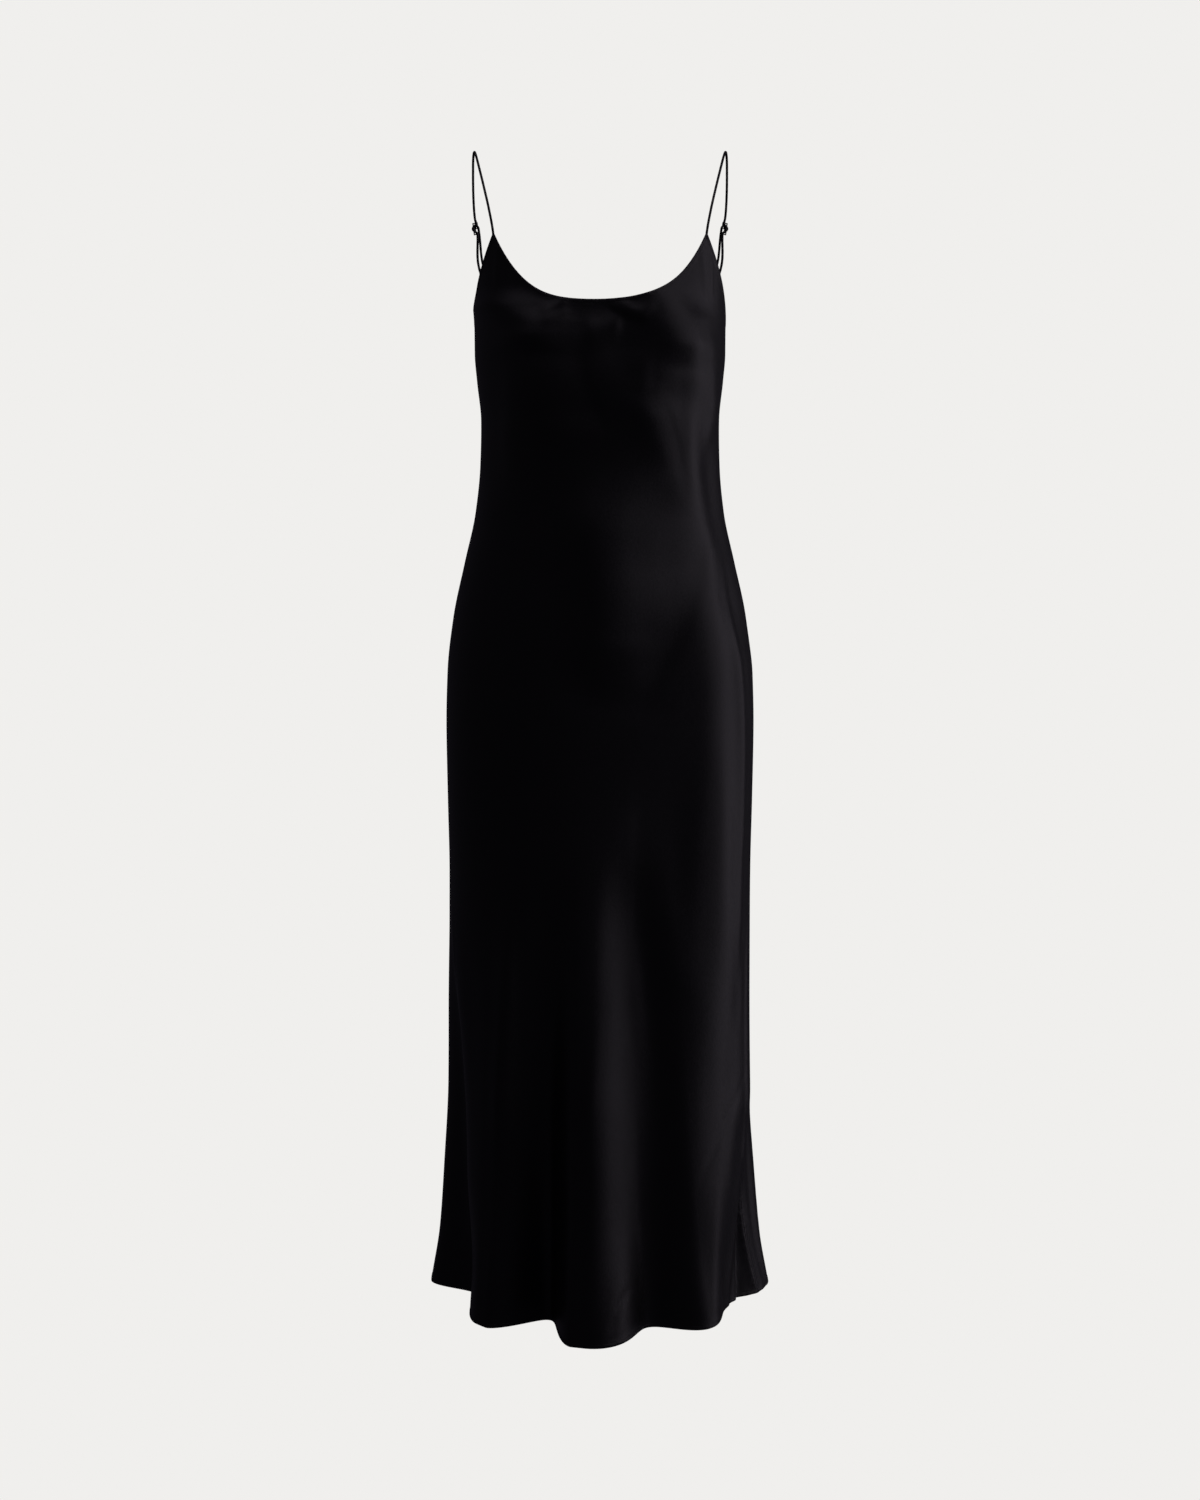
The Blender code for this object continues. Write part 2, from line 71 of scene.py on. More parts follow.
# How the cloth lies round the body at each level. A square of 2 is an ellipse, and more is flatter.
Section = namedtuple("Section", "z half_width front back front_square back_square")
SECTIONS = (
    Section(-0.060, 0.1365, 0.1045, 0.094, 2.60, 2.80),
    Section(-0.130, 0.1364, 0.1085, 0.096, 2.60, 2.80),
    Section(-0.180, 0.1359, 0.1125, 0.099, 2.55, 2.75),
    Section(-0.215, 0.1358, 0.1170, 0.101, 2.50, 2.70),
    Section(-0.245, 0.1335, 0.1190, 0.100, 2.50, 2.60),
    Section(-0.287, 0.1295, 0.1165, 0.096, 2.45, 2.50),
    Section(-0.335, 0.1308, 0.1110, 0.090, 2.40, 2.40),
    Section(-0.385, 0.1360, 0.1080, 0.088, 2.40, 2.35),
    Section(-0.440, 0.1483, 0.1100, 0.094, 2.40, 2.30),
    Section(-0.500, 0.1612, 0.1140, 0.108, 2.40, 2.30),
    Section(-0.560, 0.1681, 0.1170, 0.121, 2.40, 2.30),
    Section(-0.620, 0.1697, 0.1195, 0.127, 2.40, 2.30),
    Section(-0.700, 0.1687, 0.1230, 0.130, 2.35, 2.25),
    Section(-0.780, 0.1674, 0.1300, 0.134, 2.25, 2.20),
    Section(-0.900, 0.1676, 0.1460, 0.143, 2.15, 2.10),
    Section(-1.020, 0.1692, 0.1640, 0.156, 2.05, 2.05),
    Section(-1.120, 0.1752, 0.1790, 0.168, 1.95, 1.98),
    Section(-1.195, 0.1812, 0.1900, 0.178, 1.87, 1.93),
    Section(HEM_Z, 0.1917, 0.2005, 0.188, 1.78, 1.88),
)

# The skirt's troughs. Each brings the cloth in by its depth at the hem, between its two reaches in degrees.
Fold = namedtuple("Fold", "angle depth before after before_shape after_shape starts top_angle growth")
FOLDS = (
    Fold(27.7, 0.0267, 23.6, 21.9, 0.8, 0.8, -1.020, 14.0, 0.9),
    Fold(70.6, 0.0421, 19.9, 29.4, 1.0, 3.2, -0.690, 77.0, 1.0),
    Fold(113.8, 0.0600, 14.8, 16.9, 0.8, 0.8, -0.720, 113.0, 1.15),
    Fold(164.5, 0.0410, 29.0, 15.2, 0.8, 1.0, -0.800, 168.0, 1.1),
    Fold(205.0, 0.0360, 22.0, 24.0, 1.2, 1.6, -0.800, 207.0, 1.15),
    Fold(249.0, 0.0540, 21.0, 20.0, 1.1, 1.3, -0.720, 253.0, 1.15),
    Fold(289.0, 0.0430, 19.0, 22.0, 1.2, 1.8, -0.790, 285.0, 1.15),
    Fold(333.0, 0.0400, 22.0, 22.0, 1.4, 1.2, -0.740, 334.0, 1.1),
)

# Where the side seams run, as angles
Seam = namedtuple("Seam", "z left_side right_side")
SEAMS = (
    Seam(-0.060, 0.0, 180.0),
    Seam(-0.640, 0.0, 180.0),
    Seam(-0.740, 3.5, 181.0),
    Seam(-0.880, 15.0, 184.0),
    Seam(-1.050, 16.0, 187.0),
    Seam(-1.160, 14.0, 188.0),
    Seam(HEM_Z, 12.3, 189.0),
)

# The panels' wall, and the straps, tabs, sliders and rings
WALL = 0.0016
PIECE_GAP = 0.0003
CORD_SLACK = 0.0001
STRAP_RADIUS = 0.0014
TAB_RADIUS = 0.0012
STRAND_SPREAD = 0.0018
SLIDER_BAR = 0.0012
SLIDER_PITCH = 0.0060
SLIDER_WIDTH = 0.0094
SLIDER_WEAVE = 0.0027
SLIDER_ROUNDING = 0.00042
RING_RADIUS = 0.0046
RING_WIRE = 0.0008
RING_RISE = 0.0115
RING_APPROACH = 2.0
TUCK = 0.009
TUCK_ANGLE = 32.7
HALF_TURN_STEPS = 7
# The wearer's left strap from the front point over the shoulder to its slider. The right one mirrors it.
STRAP_RUN = (
    (0.1161, -0.0670, -0.0715),
    (0.1221, -0.0525, -0.0460),
    (0.1285, -0.0345, -0.0210),
    (0.1331, -0.0155, -0.0046),
    (0.1356, 0.0000, 0.0000),
    (0.1374, 0.0130, -0.0048),
    (0.1385, 0.0265, -0.0180),
    (0.1391, 0.0380, -0.0355),
    (0.1388, 0.0448, -0.0530),
)
# Below it: the slider, the middle of the doubled run, and the way the metal pieces face
SLIDER_SPOT = (0.1373, 0.0498, -0.0735)
RUN_MIDDLE = (0.1327, 0.0580, -0.1108)
METAL_OUTWARD = (0.85, 0.53, 0.0)
# Places on a strand as it passes a metal piece: across it, along it and out of it
Pass = namedtuple("Pass", "spreads pitches weaves")
SLIDER_ENTRY = Pass(0.7, -1.7, -0.6)
RUN_DOWN = Pass(1.3, 0.0, 0.5)
RUN_UP = Pass(-1.3, 0.0, -0.5)
WRAP_ENTRY = Pass(-1.0, 1.6, -0.9)
STRAP_END = Pass(-1.0, 0.55, 0.9)

# Sewing
CLOTH_THICKNESS = 0.0005
SEAM_SINK = 0.0004
SEAM_SPREAD = 0.0011
SEWN_REACH = 0.012
MITRE_REACH = 0.018
# How deep the turned edge lies inside the cloth's outer face, where the straps and tabs are sewn to it
EDGE_DEPTH = 0.0008
# The spots on a sewn line, and on the short line of a bar tack
LINE_SPOTS = 1500
TACK_SPOTS = 200
# A stitch: its thread, the straight share of its length, and how narrow and deep its ends get, as shares of
# the thread
STITCH_LENGTH = 0.0017
STITCH_RADIUS = 0.00016
STITCH_STRAIGHT = 0.6
STITCH_TAPER = 0.6
STITCH_DIVE = 1.1
# Rows of stitches: where they lie, and the half length over which a stitch's heading is read
STITCH_PITCH = 0.0024
STITCH_START = 0.004
STITCH_OUT = 0.00022
STITCH_PROBE = 0.0004
EDGE_STITCH_INTO = 0.0029
EDGE_STITCH_START = 0.006
HEM_STITCH_INTO = 0.0034
TACK_BELOW = 0.0035
TACK_OUT = 0.0004
TACK_HEIGHT = 0.0017
TACK_WIDTH = 0.0024
TACK_STITCHES = 8
TACK_SHIFT = 0.0002
# Closed sections of the sewn strips: how far each corner lies into the panel and out of its face
Corner = namedtuple("Corner", "into out")
TURNED_EDGE = tuple(Corner(into, out) for into, out in (
    (0.0037, -0.00025), (0.0034, 0.00000), (0.0029, 0.00006), (0.0023, 0.00024), (0.0013, 0.00034),
    (0.0004, 0.00028), (-0.0002, 0.00004), (-0.0004, -0.00030), (-0.0002, -0.00066), (0.0005, -0.00094),
    (0.0015, -0.00100), (0.0026, -0.00088), (0.0035, -0.00070), (0.0038, -0.00045)))
# The narrow hem is the turned edge, a little deeper into the panel
HEM_SHARE = 1.15
NARROW_HEM = tuple(Corner(c.into * HEM_SHARE if c.into > 0 else c.into, c.out) for c in TURNED_EDGE)
# The seam allowance, folded to the back inside the dress: across the seam and out of the face
FRENCH_SEAM = tuple(Corner(into, out) for into, out in (
    (-0.0009, -0.00100), (0.0008, -0.00092), (0.0034, -0.00062), (0.0058, -0.00064), (0.0066, -0.00105),
    (0.0059, -0.00160), (0.0032, -0.00175), (0.0004, -0.00185), (-0.0008, -0.00150)))
# How long the strips' faces are, and how many of them a short strip has at least
EDGE_PITCH = 0.0022
HEM_PITCH = 0.0026
SEAM_PITCH = 0.004
LEAST_FACES = 8
# How far a seam allowance stops from its seam's ends
SEAM_ENDS = 0.0035

# Soft creases: ridges lift the cloth and troughs bring it in. Each runs through its places, given as angles
# and levels. The near width is on the side of smaller angles, or below a level crease, and the far width
# opposite.
Crease = namedtuple("Crease", "lift near far angles levels")
FRONT_CREASES = (
    # the wearer's left breast: where the cloth turns off it towards the side, and the hollow under it
    Crease(0.0089, 0.0419, 0.0305, (55.2, 63.9, 58.0, 49.5, 45.3), (-0.135, -0.160, -0.185, -0.212, -0.240)),
    Crease(0.0046, 0.0386, 0.0277, (73.5, 67.3, 56.2, 45.7, 48.4), (-0.240, -0.272, -0.310, -0.360, -0.395)),
    Crease(0.0041, 0.0286, 0.0253, (60.2, 49.1, 43.9, 36.3, 26.1, 29.8),
           (-0.140, -0.175, -0.205, -0.245, -0.290, -0.330)),
    Crease(-0.0017, 0.0163, 0.0254, (70.0, 60.0, 50.0, 42.0), (-0.2548, -0.2516, -0.2796, -0.3151)),
    Crease(-0.0026, 0.0124, 0.0212, (67.0, 61.0, 54.5, 49.5, 47.2),
           (-0.252, -0.270, -0.300, -0.335, -0.375)),
    Crease(-0.0016, 0.0135, 0.0142, (45.0, 41.5, 39.0, 34.4, 33.3, 34.9),
           (-0.165, -0.190, -0.222, -0.262, -0.300, -0.335)),
    # the side of the waist, pulled flat between the hip and the breast
    Crease(-0.0067, 0.0320, 0.0286, (26.5, 25.1, 21.9, 19.3, 20.4, 11.9),
           (-0.265, -0.335, -0.380, -0.430, -0.485, -0.560)),
    # the belly's swell and the slack below it
    Crease(0.0140, 0.0682, 0.0420, (87.1, 92.9, 88.3, 88.0, 78.1), (-0.330, -0.400, -0.477, -0.545, -0.600)),
    Crease(-0.0059, 0.0296, 0.1019, (40.2, 43.2, 51.2, 57.4, 69.4, 74.1),
           (-0.380, -0.440, -0.485, -0.520, -0.575, -0.610)),
    Crease(0.0008, 0.0237, 0.0286, (62.5, 62.5, 61.1, 59.9), (-0.380, -0.430, -0.480, -0.530)),
    Crease(-0.0009, 0.0300, 0.0309, (99.6, 106.2, 104.1, 96.9, 90.0),
           (-0.360, -0.420, -0.480, -0.540, -0.600)),
    # the flat of the hip and its turn towards the side
    Crease(0.0052, 0.0269, 0.0363, (41.3, 38.0, 40.1, 36.6, 34.9, 34.2),
           (-0.400, -0.500, -0.600, -0.720, -0.840, -0.960)),
    Crease(0.0029, 0.0075, 0.0090, (18.9, 24.3, 22.6, 22.6, 24.9, 22.3),
           (-0.400, -0.500, -0.600, -0.720, -0.840, -0.960)),
    Crease(-0.0078, 0.0394, 0.1152, (53.6, 52.7, 53.6, 59.7, 60.5),
           (-0.460, -0.550, -0.650, -0.760, -0.900)),
    # the wearer's right breast, falling away towards the middle
    Crease(0.0092, 0.0323, 0.0361, (143.5, 140.5, 126.7, 125.9, 124.1),
           (-0.150, -0.170, -0.190, -0.210, -0.225)),
    # slack over the chest and along the right side
    Crease(-0.0037, 0.0267, 0.0394, (147.0, 146.4, 150.0, 146.6), (-0.200, -0.260, -0.320, -0.390)),
    Crease(-0.0037, 0.0217, 0.0750, (105.2, 103.8, 99.6, 90.1), (-0.200, -0.230, -0.265, -0.310)),
    Crease(-0.0030, 0.0586, 0.0343, (75.6, 76.4, 70.6, 66.6), (-0.190, -0.215, -0.245, -0.290)),
    # slack along the neckline
    Crease(0.0024, 0.0053, 0.0057, (121.0, 113.2, 105.0), (-0.1795, -0.1748, -0.1657)),
    Crease(0.0016, 0.0064, 0.0056, (120.0, 113.2, 104.0), (-0.1860, -0.1839, -0.1778)),
    Crease(0.0028, 0.0075, 0.0093, (84.0, 73.0, 62.0), (-0.1640, -0.1785, -0.1769)),
    Crease(0.0024, 0.0046, 0.0087, (88.0, 77.5, 65.0), (-0.1677, -0.1794, -0.1880)),
    Crease(0.0034, 0.0177, 0.0145, (100.0, 88.0, 76.0), (-0.1992, -0.1991, -0.1833)),
    # pulls from the strap points
    Crease(0.0011, 0.0033, 0.0040, (37.9, 36.2, 35.6, 33.9), (-0.100, -0.130, -0.150, -0.170)),
    Crease(0.0009, 0.0033, 0.0040, (31.5, 31.3, 31.4), (-0.112, -0.130, -0.165)),
    Crease(0.0012, 0.0031, 0.0045, (142.6, 143.1, 143.2), (-0.102, -0.128, -0.160)),
    # the left side seam's ridge, the hollow behind it and the fold that leaves it
    Crease(0.0020, 0.0040, 0.0040, (10.0, 15.5, 17.3, 16.8, 14.6, 12.9, 12.0),
           (-0.780, -0.870, -0.980, -1.080, -1.160, -1.250, -1.400)),
    Crease(-0.0022, 0.0060, 0.0070, (4.0, 7.0, 8.0, 7.5, 6.8, 5.9, 5.0),
           (-0.760, -0.880, -1.000, -1.090, -1.170, -1.250, -1.400)),
    Crease(-0.0010, 0.0068, 0.0112, (20.0, 23.7, 25.5, 26.0), (-0.810, -0.859, -0.903, -0.958)),
    # the lobe in front of the left seam: its limb, the hollow beyond and the folds across it
    Crease(0.0024, 0.0040, 0.0156, (14.3, 16.8, 20.2, 23.0, 29.2, 34.0),
           (-1.030, -1.080, -1.135, -1.190, -1.250, -1.400)),
    Crease(-0.0060, 0.0080, 0.0042, (16.7, 16.1, 17.7, 19.9, 24.0),
           (-1.090, -1.150, -1.200, -1.250, -1.400)),
    Crease(-0.0007, 0.0030, 0.0045, (13.0, 24.5, 35.2, 43.5, 54.0),
           (-0.980, -1.013, -1.043, -1.076, -1.116)),
    # the front of the skirt: the crest and trough that the middle lobe grows from
    Crease(0.0074, 0.0384, 0.1197, (82.3, 85.5, 88.9, 84.2, 83.6), (-0.640, -0.800, -0.900, -1.000, -1.150)),
    Crease(-0.0013, 0.0402, 0.0202, (76.1, 74.8, 73.1, 75.0, 74.9),
           (-0.640, -0.800, -0.900, -1.000, -1.120)),
    Crease(-0.0053, 0.0180, 0.0208, (82.2, 82.4, 82.9, 83.1, 83.2, 84.1),
           (-0.720, -0.850, -0.950, -1.050, -1.150, -1.300)),
    Crease(-0.0117, 0.0288, 0.0247, (68.9, 65.1, 61.6, 60.8, 60.4, 64.2),
           (-0.750, -0.850, -0.950, -1.050, -1.150, -1.300)),
    Crease(0.0050, 0.0148, 0.0098, (90.6, 93.3, 92.6, 92.5), (-0.900, -1.000, -1.100, -1.300)),
    Crease(-0.0033, 0.0204, 0.0192, (43.2, 44.3, 47.1, 50.7), (-0.900, -1.000, -1.100, -1.300)),
    Crease(-0.0032, 0.0167, 0.0214, (29.8, 32.4, 38.4, 37.1, 36.1),
           (-0.900, -1.000, -1.080, -1.160, -1.300)),
    Crease(-0.0018, 0.0029, 0.0040, (78.2, 82.8, 87.8), (-1.198, -1.214, -1.246)),
    # the right of the skirt: a soft fold, and the ridge beside its limb
    Crease(0.0049, 0.0066, 0.0166, (129.6, 127.6, 127.5, 126.2), (-0.796, -0.901, -1.008, -1.090)),
    Crease(0.0071, 0.0227, 0.0153, (164.1, 157.3, 151.1, 147.4), (-0.800, -0.920, -1.050, -1.220)),
    Crease(0.0029, 0.0045, 0.0091, (167.9, 163.1, 164.9, 166.3, 167.1, 168.9),
           (-0.780, -0.880, -0.980, -1.070, -1.200, -1.330)),
)
BACK_CREASES = (
    # the hollow of the back and the pulls over the seat
    Crease(-0.0040, 0.034, 0.034, (232, 252, 270, 288, 308), (-0.395, -0.405, -0.412, -0.405, -0.395)),
    Crease(0.0040, 0.030, 0.014, (212, 219, 230, 246), (-0.360, -0.420, -0.480, -0.532)),
    Crease(0.0042, 0.014, 0.030, (328, 321, 310, 297), (-0.350, -0.410, -0.470, -0.512)),
    Crease(-0.0035, 0.020, 0.012, (205, 209, 218, 232), (-0.400, -0.455, -0.520, -0.575)),
    Crease(-0.0034, 0.010, 0.020, (333, 329, 322, 315), (-0.330, -0.390, -0.450, -0.500)),
    # the crests and troughs that the skirt's lobes grow from
    Crease(0.0050, 0.045, 0.026, (268, 267.5, 266.5, 265, 263), (-0.660, -0.800, -0.920, -1.040, -1.150)),
    Crease(-0.0045, 0.022, 0.030, (286, 286, 286.5, 287, 288), (-0.690, -0.820, -0.930, -1.050, -1.150)),
    Crease(-0.0040, 0.030, 0.022, (251, 250.5, 250, 249.5, 249), (-0.660, -0.780, -0.880, -1.000, -1.100)),
    Crease(0.0030, 0.020, 0.020, (309, 310, 311, 311), (-0.760, -0.880, -1.000, -1.100)),
    Crease(0.0028, 0.018, 0.022, (227, 227, 227, 226), (-0.780, -0.900, -1.010, -1.110)),
    # the right side seam's ridge and the folds that leave it
    Crease(0.0036, 0.020, 0.007, (181, 184, 187, 188, 189, 189),
           (-0.760, -0.880, -1.050, -1.160, -1.250, -1.400)),
    Crease(0.0020, 0.012, 0.006, (193, 199, 205, 203), (-0.800, -0.860, -0.900, -0.960)),
    Crease(-0.0015, 0.007, 0.004, (189, 197, 210, 226), (-0.995, -1.030, -1.062, -1.090)),
    Crease(0.0009, 0.005, 0.004, (263, 257, 252), (-1.196, -1.214, -1.242)),
    # slack along the back scoop and the pulls from its strap points
    Crease(0.0016, 0.006, 0.008, (259, 270, 281), (-0.2835, -0.2795, -0.2825)),
    Crease(-0.0018, 0.006, 0.008, (256, 270, 285), (-0.2930, -0.2890, -0.2925)),
    Crease(0.0014, 0.007, 0.009, (262, 277), (-0.3020, -0.3000)),
    Crease(0.0011, 0.003, 0.004, (330.5, 329, 326), (-0.168, -0.195, -0.232)),
    Crease(0.0011, 0.003, 0.004, (209.5, 211, 214), (-0.168, -0.195, -0.226)),
)
CREASES = FRONT_CREASES + BACK_CREASES
# Metres round the cloth for each degree, at the body's middling reach
MIDDLING_REACH = 0.155
CREASE_SCALE = math.radians(1) * MIDDLING_REACH
# The share of a crease over which each end fades, and how many of its widths it reaches to each side
CREASE_FADE = 0.30
CREASE_WIDTHS = 3
# The share of a fold's length over which it starts
FOLD_EASE = 0.12

# ----------------------------------------
# The cloth's surface

# The turns, in degrees, and the rises over which the cloth's slopes are read
MOVE_TURN = 0.25
MOVE_RISE = 0.0005
OUTWARD_TURN = 0.5
OUTWARD_RISE = 0.002


def smooth_run(runs, values, slopes, at):
    """A smooth run through values with these slopes, the stretch of each place, and how far along it."""
    i = np.clip(np.searchsorted(runs, at, side="right") - 1, 0, len(runs) - 2)
    span = runs[i + 1] - runs[i]
    u = np.clip((at - runs[i]) / span, 0, 1)
    start = (1 + 2 * u) * (1 - u) ** 2 * values[i] + u * (1 - u) ** 2 * span * slopes[i]
    end = u * u * (3 - 2 * u) * values[i + 1] - u * u * (1 - u) * span * slopes[i + 1]
    return start + end, i, u


def level_value(rows, z, column):
    """One column of a table of levels, read smoothly between its rows at every z."""
    levels = np.array([row.z for row in rows])
    values = np.array([getattr(row, column) for row in rows])
    order = np.argsort(levels)
    levels, values = levels[order], values[order]
    rates = np.diff(values) / np.diff(levels)
    slopes = np.zeros(len(values))
    same_way = rates[:-1] * rates[1:] > 0
    slopes[1:-1][same_way] = 2 / (1 / rates[:-1][same_way] + 1 / rates[1:][same_way])
    slopes[0], slopes[-1] = rates[0], rates[-1]
    return smooth_run(levels, values, slopes, z)[0]


def smooth_step(u):
    u = np.clip(u, 0.0, 1.0)
    return u * u * (3 - 2 * u)


def unit(directions):
    """Rows of directions, each brought to a length of one."""
    return directions / np.linalg.norm(directions, axis=-1, keepdims=True)


def lengths_along(spots):
    """How far along a row of spots each of them lies."""
    return np.concatenate([[0], np.cumsum(np.linalg.norm(np.diff(spots, axis=0), axis=1))])


def turned(angle, middle):
    """How far an angle is from a middle one, the short way round."""
    return (angle - middle + 180) % 360 - 180


def fold_inset(angle, z):
    """How far the skirt's troughs bring the cloth in."""
    inset = np.zeros(np.broadcast(angle, z).shape)
    for fold in FOLDS:
        down = np.clip((fold.starts - z) / (fold.starts - HEM_Z), 0, None)
        away = turned(angle, fold.top_angle + (fold.angle - fold.top_angle) * down)
        reach = np.where(away < 0, fold.before, fold.after)
        growth = (down * (1 - np.exp(-((down / FOLD_EASE) ** 2)))) ** fold.growth
        shape = np.where(away < 0, fold.before_shape, fold.after_shape)
        bell = 0.5 + 0.5 * np.cos(np.pi * np.clip(away / reach, -1, 1))
        inset += fold.depth * growth * np.maximum(bell, 0) ** shape
    return inset


def smooth_curve(runs, values, at):
    """A smooth curve through values at these runs: how high it is, and how steep."""
    rates = np.diff(values) / np.diff(runs)
    slopes = np.concatenate([rates[:1], (rates[:-1] + rates[1:]) / 2, rates[-1:]])
    height, i, u = smooth_run(runs, values, slopes, at)
    return height, slopes[i] * (1 - u) + slopes[i + 1] * u


def crease_lift(angle, z):
    """How far the creases move the cloth outwards."""
    lift = np.zeros(angle.shape)
    for crease in CREASES:
        middle, levels = crease.angles[0], np.array(crease.levels)
        sideways = turned(np.array(crease.angles, float), middle) * CREASE_SCALE
        steep = np.ptp(levels) > np.ptp(sideways)
        runs, sides = (levels, sideways) if steep else (sideways, levels)
        if runs[0] > runs[-1]:
            runs, sides = runs[::-1], sides[::-1]
        reach = CREASE_WIDTHS * max(crease.near, crease.far)
        across = turned(angle, middle) * CREASE_SCALE
        at, beside_it = (z, across) if steep else (across, z)
        touched = (at > runs[0]) & (at < runs[-1])
        touched &= (beside_it > sides.min() - reach) & (beside_it < sides.max() + reach)
        if not touched.any():
            continue
        at = at[touched]
        centre, slope = smooth_curve(runs, sides, at)
        off = (beside_it[touched] - centre) / np.sqrt(1 + slope**2)
        lean = smooth_step(0.5 + 0.5 * off / min(crease.near, crease.far))
        width = crease.near + (crease.far - crease.near) * lean
        share = (at - runs[0]) / (runs[-1] - runs[0])
        ends = smooth_step(np.minimum(share, 1 - share) / CREASE_FADE)
        lift[touched] += crease.lift * np.exp(-((off / width) ** 2)) * ends
    return lift


def cloth_spots(angle, z):
    """The outer face of the cloth at these angles and levels, as rows of x, y, z."""
    angle, z = np.broadcast_arrays(np.asarray(angle, float), np.asarray(z, float))
    turn = np.radians(angle)
    across, ahead = np.cos(turn), np.sin(turn)
    front = ahead >= 0
    half_width = level_value(SECTIONS, z, "half_width")
    depth = np.where(front, level_value(SECTIONS, z, "front"), level_value(SECTIONS, z, "back"))
    square = np.where(
        front, level_value(SECTIONS, z, "front_square"), level_value(SECTIONS, z, "back_square")
    )
    reach = (np.abs(across) / half_width) ** square + (np.abs(ahead) / depth) ** square
    reach = reach ** (-1 / square) - fold_inset(angle, z) + crease_lift(angle, z)
    x, y = reach * across, -reach * ahead
    for bust in (BUST_X, -BUST_X):
        spread = ((x - bust) / BUST_WIDTH) ** 2 + ((z - BUST_Z) / BUST_HEIGHT) ** 2
        y = y - np.where(front, BUST_RISE * np.exp(-spread) * ahead, 0)
    return np.stack([x, y, z], axis=-1)


def cloth_outward(angle, z):
    """The directions straight out of the cloth."""
    along = cloth_spots(angle + OUTWARD_TURN, z) - cloth_spots(angle - OUTWARD_TURN, z)
    down = cloth_spots(angle, z - OUTWARD_RISE) - cloth_spots(angle, z + OUTWARD_RISE)
    return unit(np.cross(along, down))


def scoop(angle, edge):
    """The levels where a neck scoop, part round and part squared, crosses these angles."""
    half = cloth_spots(edge.left_point, edge.point_z)[0]
    z = np.full(np.shape(angle), edge.low_z)
    for _ in range(SCOOP_PASSES):
        x = cloth_spots(angle, z)[..., 0]
        u = np.abs(x + edge.skew * np.clip(1 - (x / half) ** 2, 0, None) ** 3) / half
        u = np.minimum(u, 1.0)
        z = edge.low_z + (edge.point_z - edge.low_z) * (SCOOP_ROUND * u**2 + (1 - SCOOP_ROUND) * u**4)
    return z


def top_level(angle, face):
    """A panel's top edge: armhole, strap point, neck scoop, strap point, armhole."""
    edge = TOP_EDGES[face]
    from_side = np.clip(np.minimum(angle - edge.start, edge.start + 180 - angle), 0, None)
    point = abs(edge.left_point)
    armhole = UNDERARM_Z + (from_side / point) ** edge.armhole_curve * (edge.point_z - UNDERARM_Z)
    return np.where(from_side <= point, armhole, scoop(angle, edge))


def strap_points(face):
    """The angles of a panel's two strap points."""
    edge = TOP_EDGES[face]
    point = abs(edge.left_point)
    return edge.start + point, edge.start + 180 - point


def seam_angles(z, face):
    """The two ends of a panel at these levels."""
    left, right = (level_value(SEAMS, z, side) for side in ("left_side", "right_side"))
    return (left, right) if face == "front" else (right, left + 360)


def along_cloth(angle, z, move):
    """The angles and levels that small moves over the cloth lead to."""
    per_degree = (cloth_spots(angle + MOVE_TURN, z) - cloth_spots(angle - MOVE_TURN, z)) / (2 * MOVE_TURN)
    per_metre = (cloth_spots(angle, z + MOVE_RISE) - cloth_spots(angle, z - MOVE_RISE)) / (2 * MOVE_RISE)
    turns, both, rises = ((one * other).sum(-1) for one, other in (
        (per_degree, per_degree), (per_degree, per_metre), (per_metre, per_metre)))
    round_it, up_it = (move * per_degree).sum(-1), (move * per_metre).sum(-1)
    whole = turns * rises - both * both
    return angle + (round_it * rises - up_it * both) / whole, z + (up_it * turns - round_it * both) / whole


def cloth_uv(angle, z, face):
    """Where places lie on the flat cloth: across it, and up from its hem."""
    spots = cloth_spots(angle, z)
    middle = 90 if face == "front" else 270
    across = np.radians(angle - middle) * np.hypot(spots[..., 0], spots[..., 1])
    return np.stack([across + UV_ROOM, (z - HEM_Z) / UV_LENGTH], axis=-1)


# ----------------------------------------
# Making pieces

# A panel's cloth: its faces each way, where its columns near a seam lie, and where its rows change
CLOTH_COLUMNS = 154
CLOTH_ROWS = 285
SEAM_SHARES = (0.0, 0.0010, 0.0022, 0.0038, 0.0062, 0.0100)
SKIRT_Z = -0.70
SKIRT_SHARE = 0.42
BODY_SHARE = 0.80
# The flat cloth in its square: where its middle lies across it, and how many metres high the square is
UV_ROOM = 0.5
UV_LENGTH = 1.3
# A tube's sides, how far apart its rings are, and how near to each other points are merged
TUBE_SIDES = 12
TUBE_STEP = 0.0009
MERGE_REACH = 0.00001
# How near to a direction counts as along it
NEARLY_ALONG = 0.9


def select_only(*pieces):
    bpy.ops.object.select_all(action="DESELECT")
    for piece in pieces:
        piece.select_set(True)
    bpy.context.view_layer.objects.active = pieces[0]


def new_primitive(add, **settings):
    """The primitive that a piece starts as, alone selected."""
    bpy.ops.object.select_all(action="DESELECT")
    add(**settings)
    return bpy.context.active_object


def edit_faces(piece, wanted):
    """Opens a piece for editing, with only the wanted faces selected."""
    bpy.ops.object.mode_set(mode="EDIT")
    bpy.ops.mesh.select_mode(type="FACE")
    bpy.ops.mesh.select_all(action="DESELECT")
    bpy.ops.object.mode_set(mode="OBJECT")
    for face in piece.data.polygons:
        face.select = wanted(face)
    bpy.ops.object.mode_set(mode="EDIT")


def apply_modifiers(piece):
    select_only(piece)
    for modifier in list(piece.modifiers):
        bpy.ops.object.modifier_apply(modifier=modifier.name)


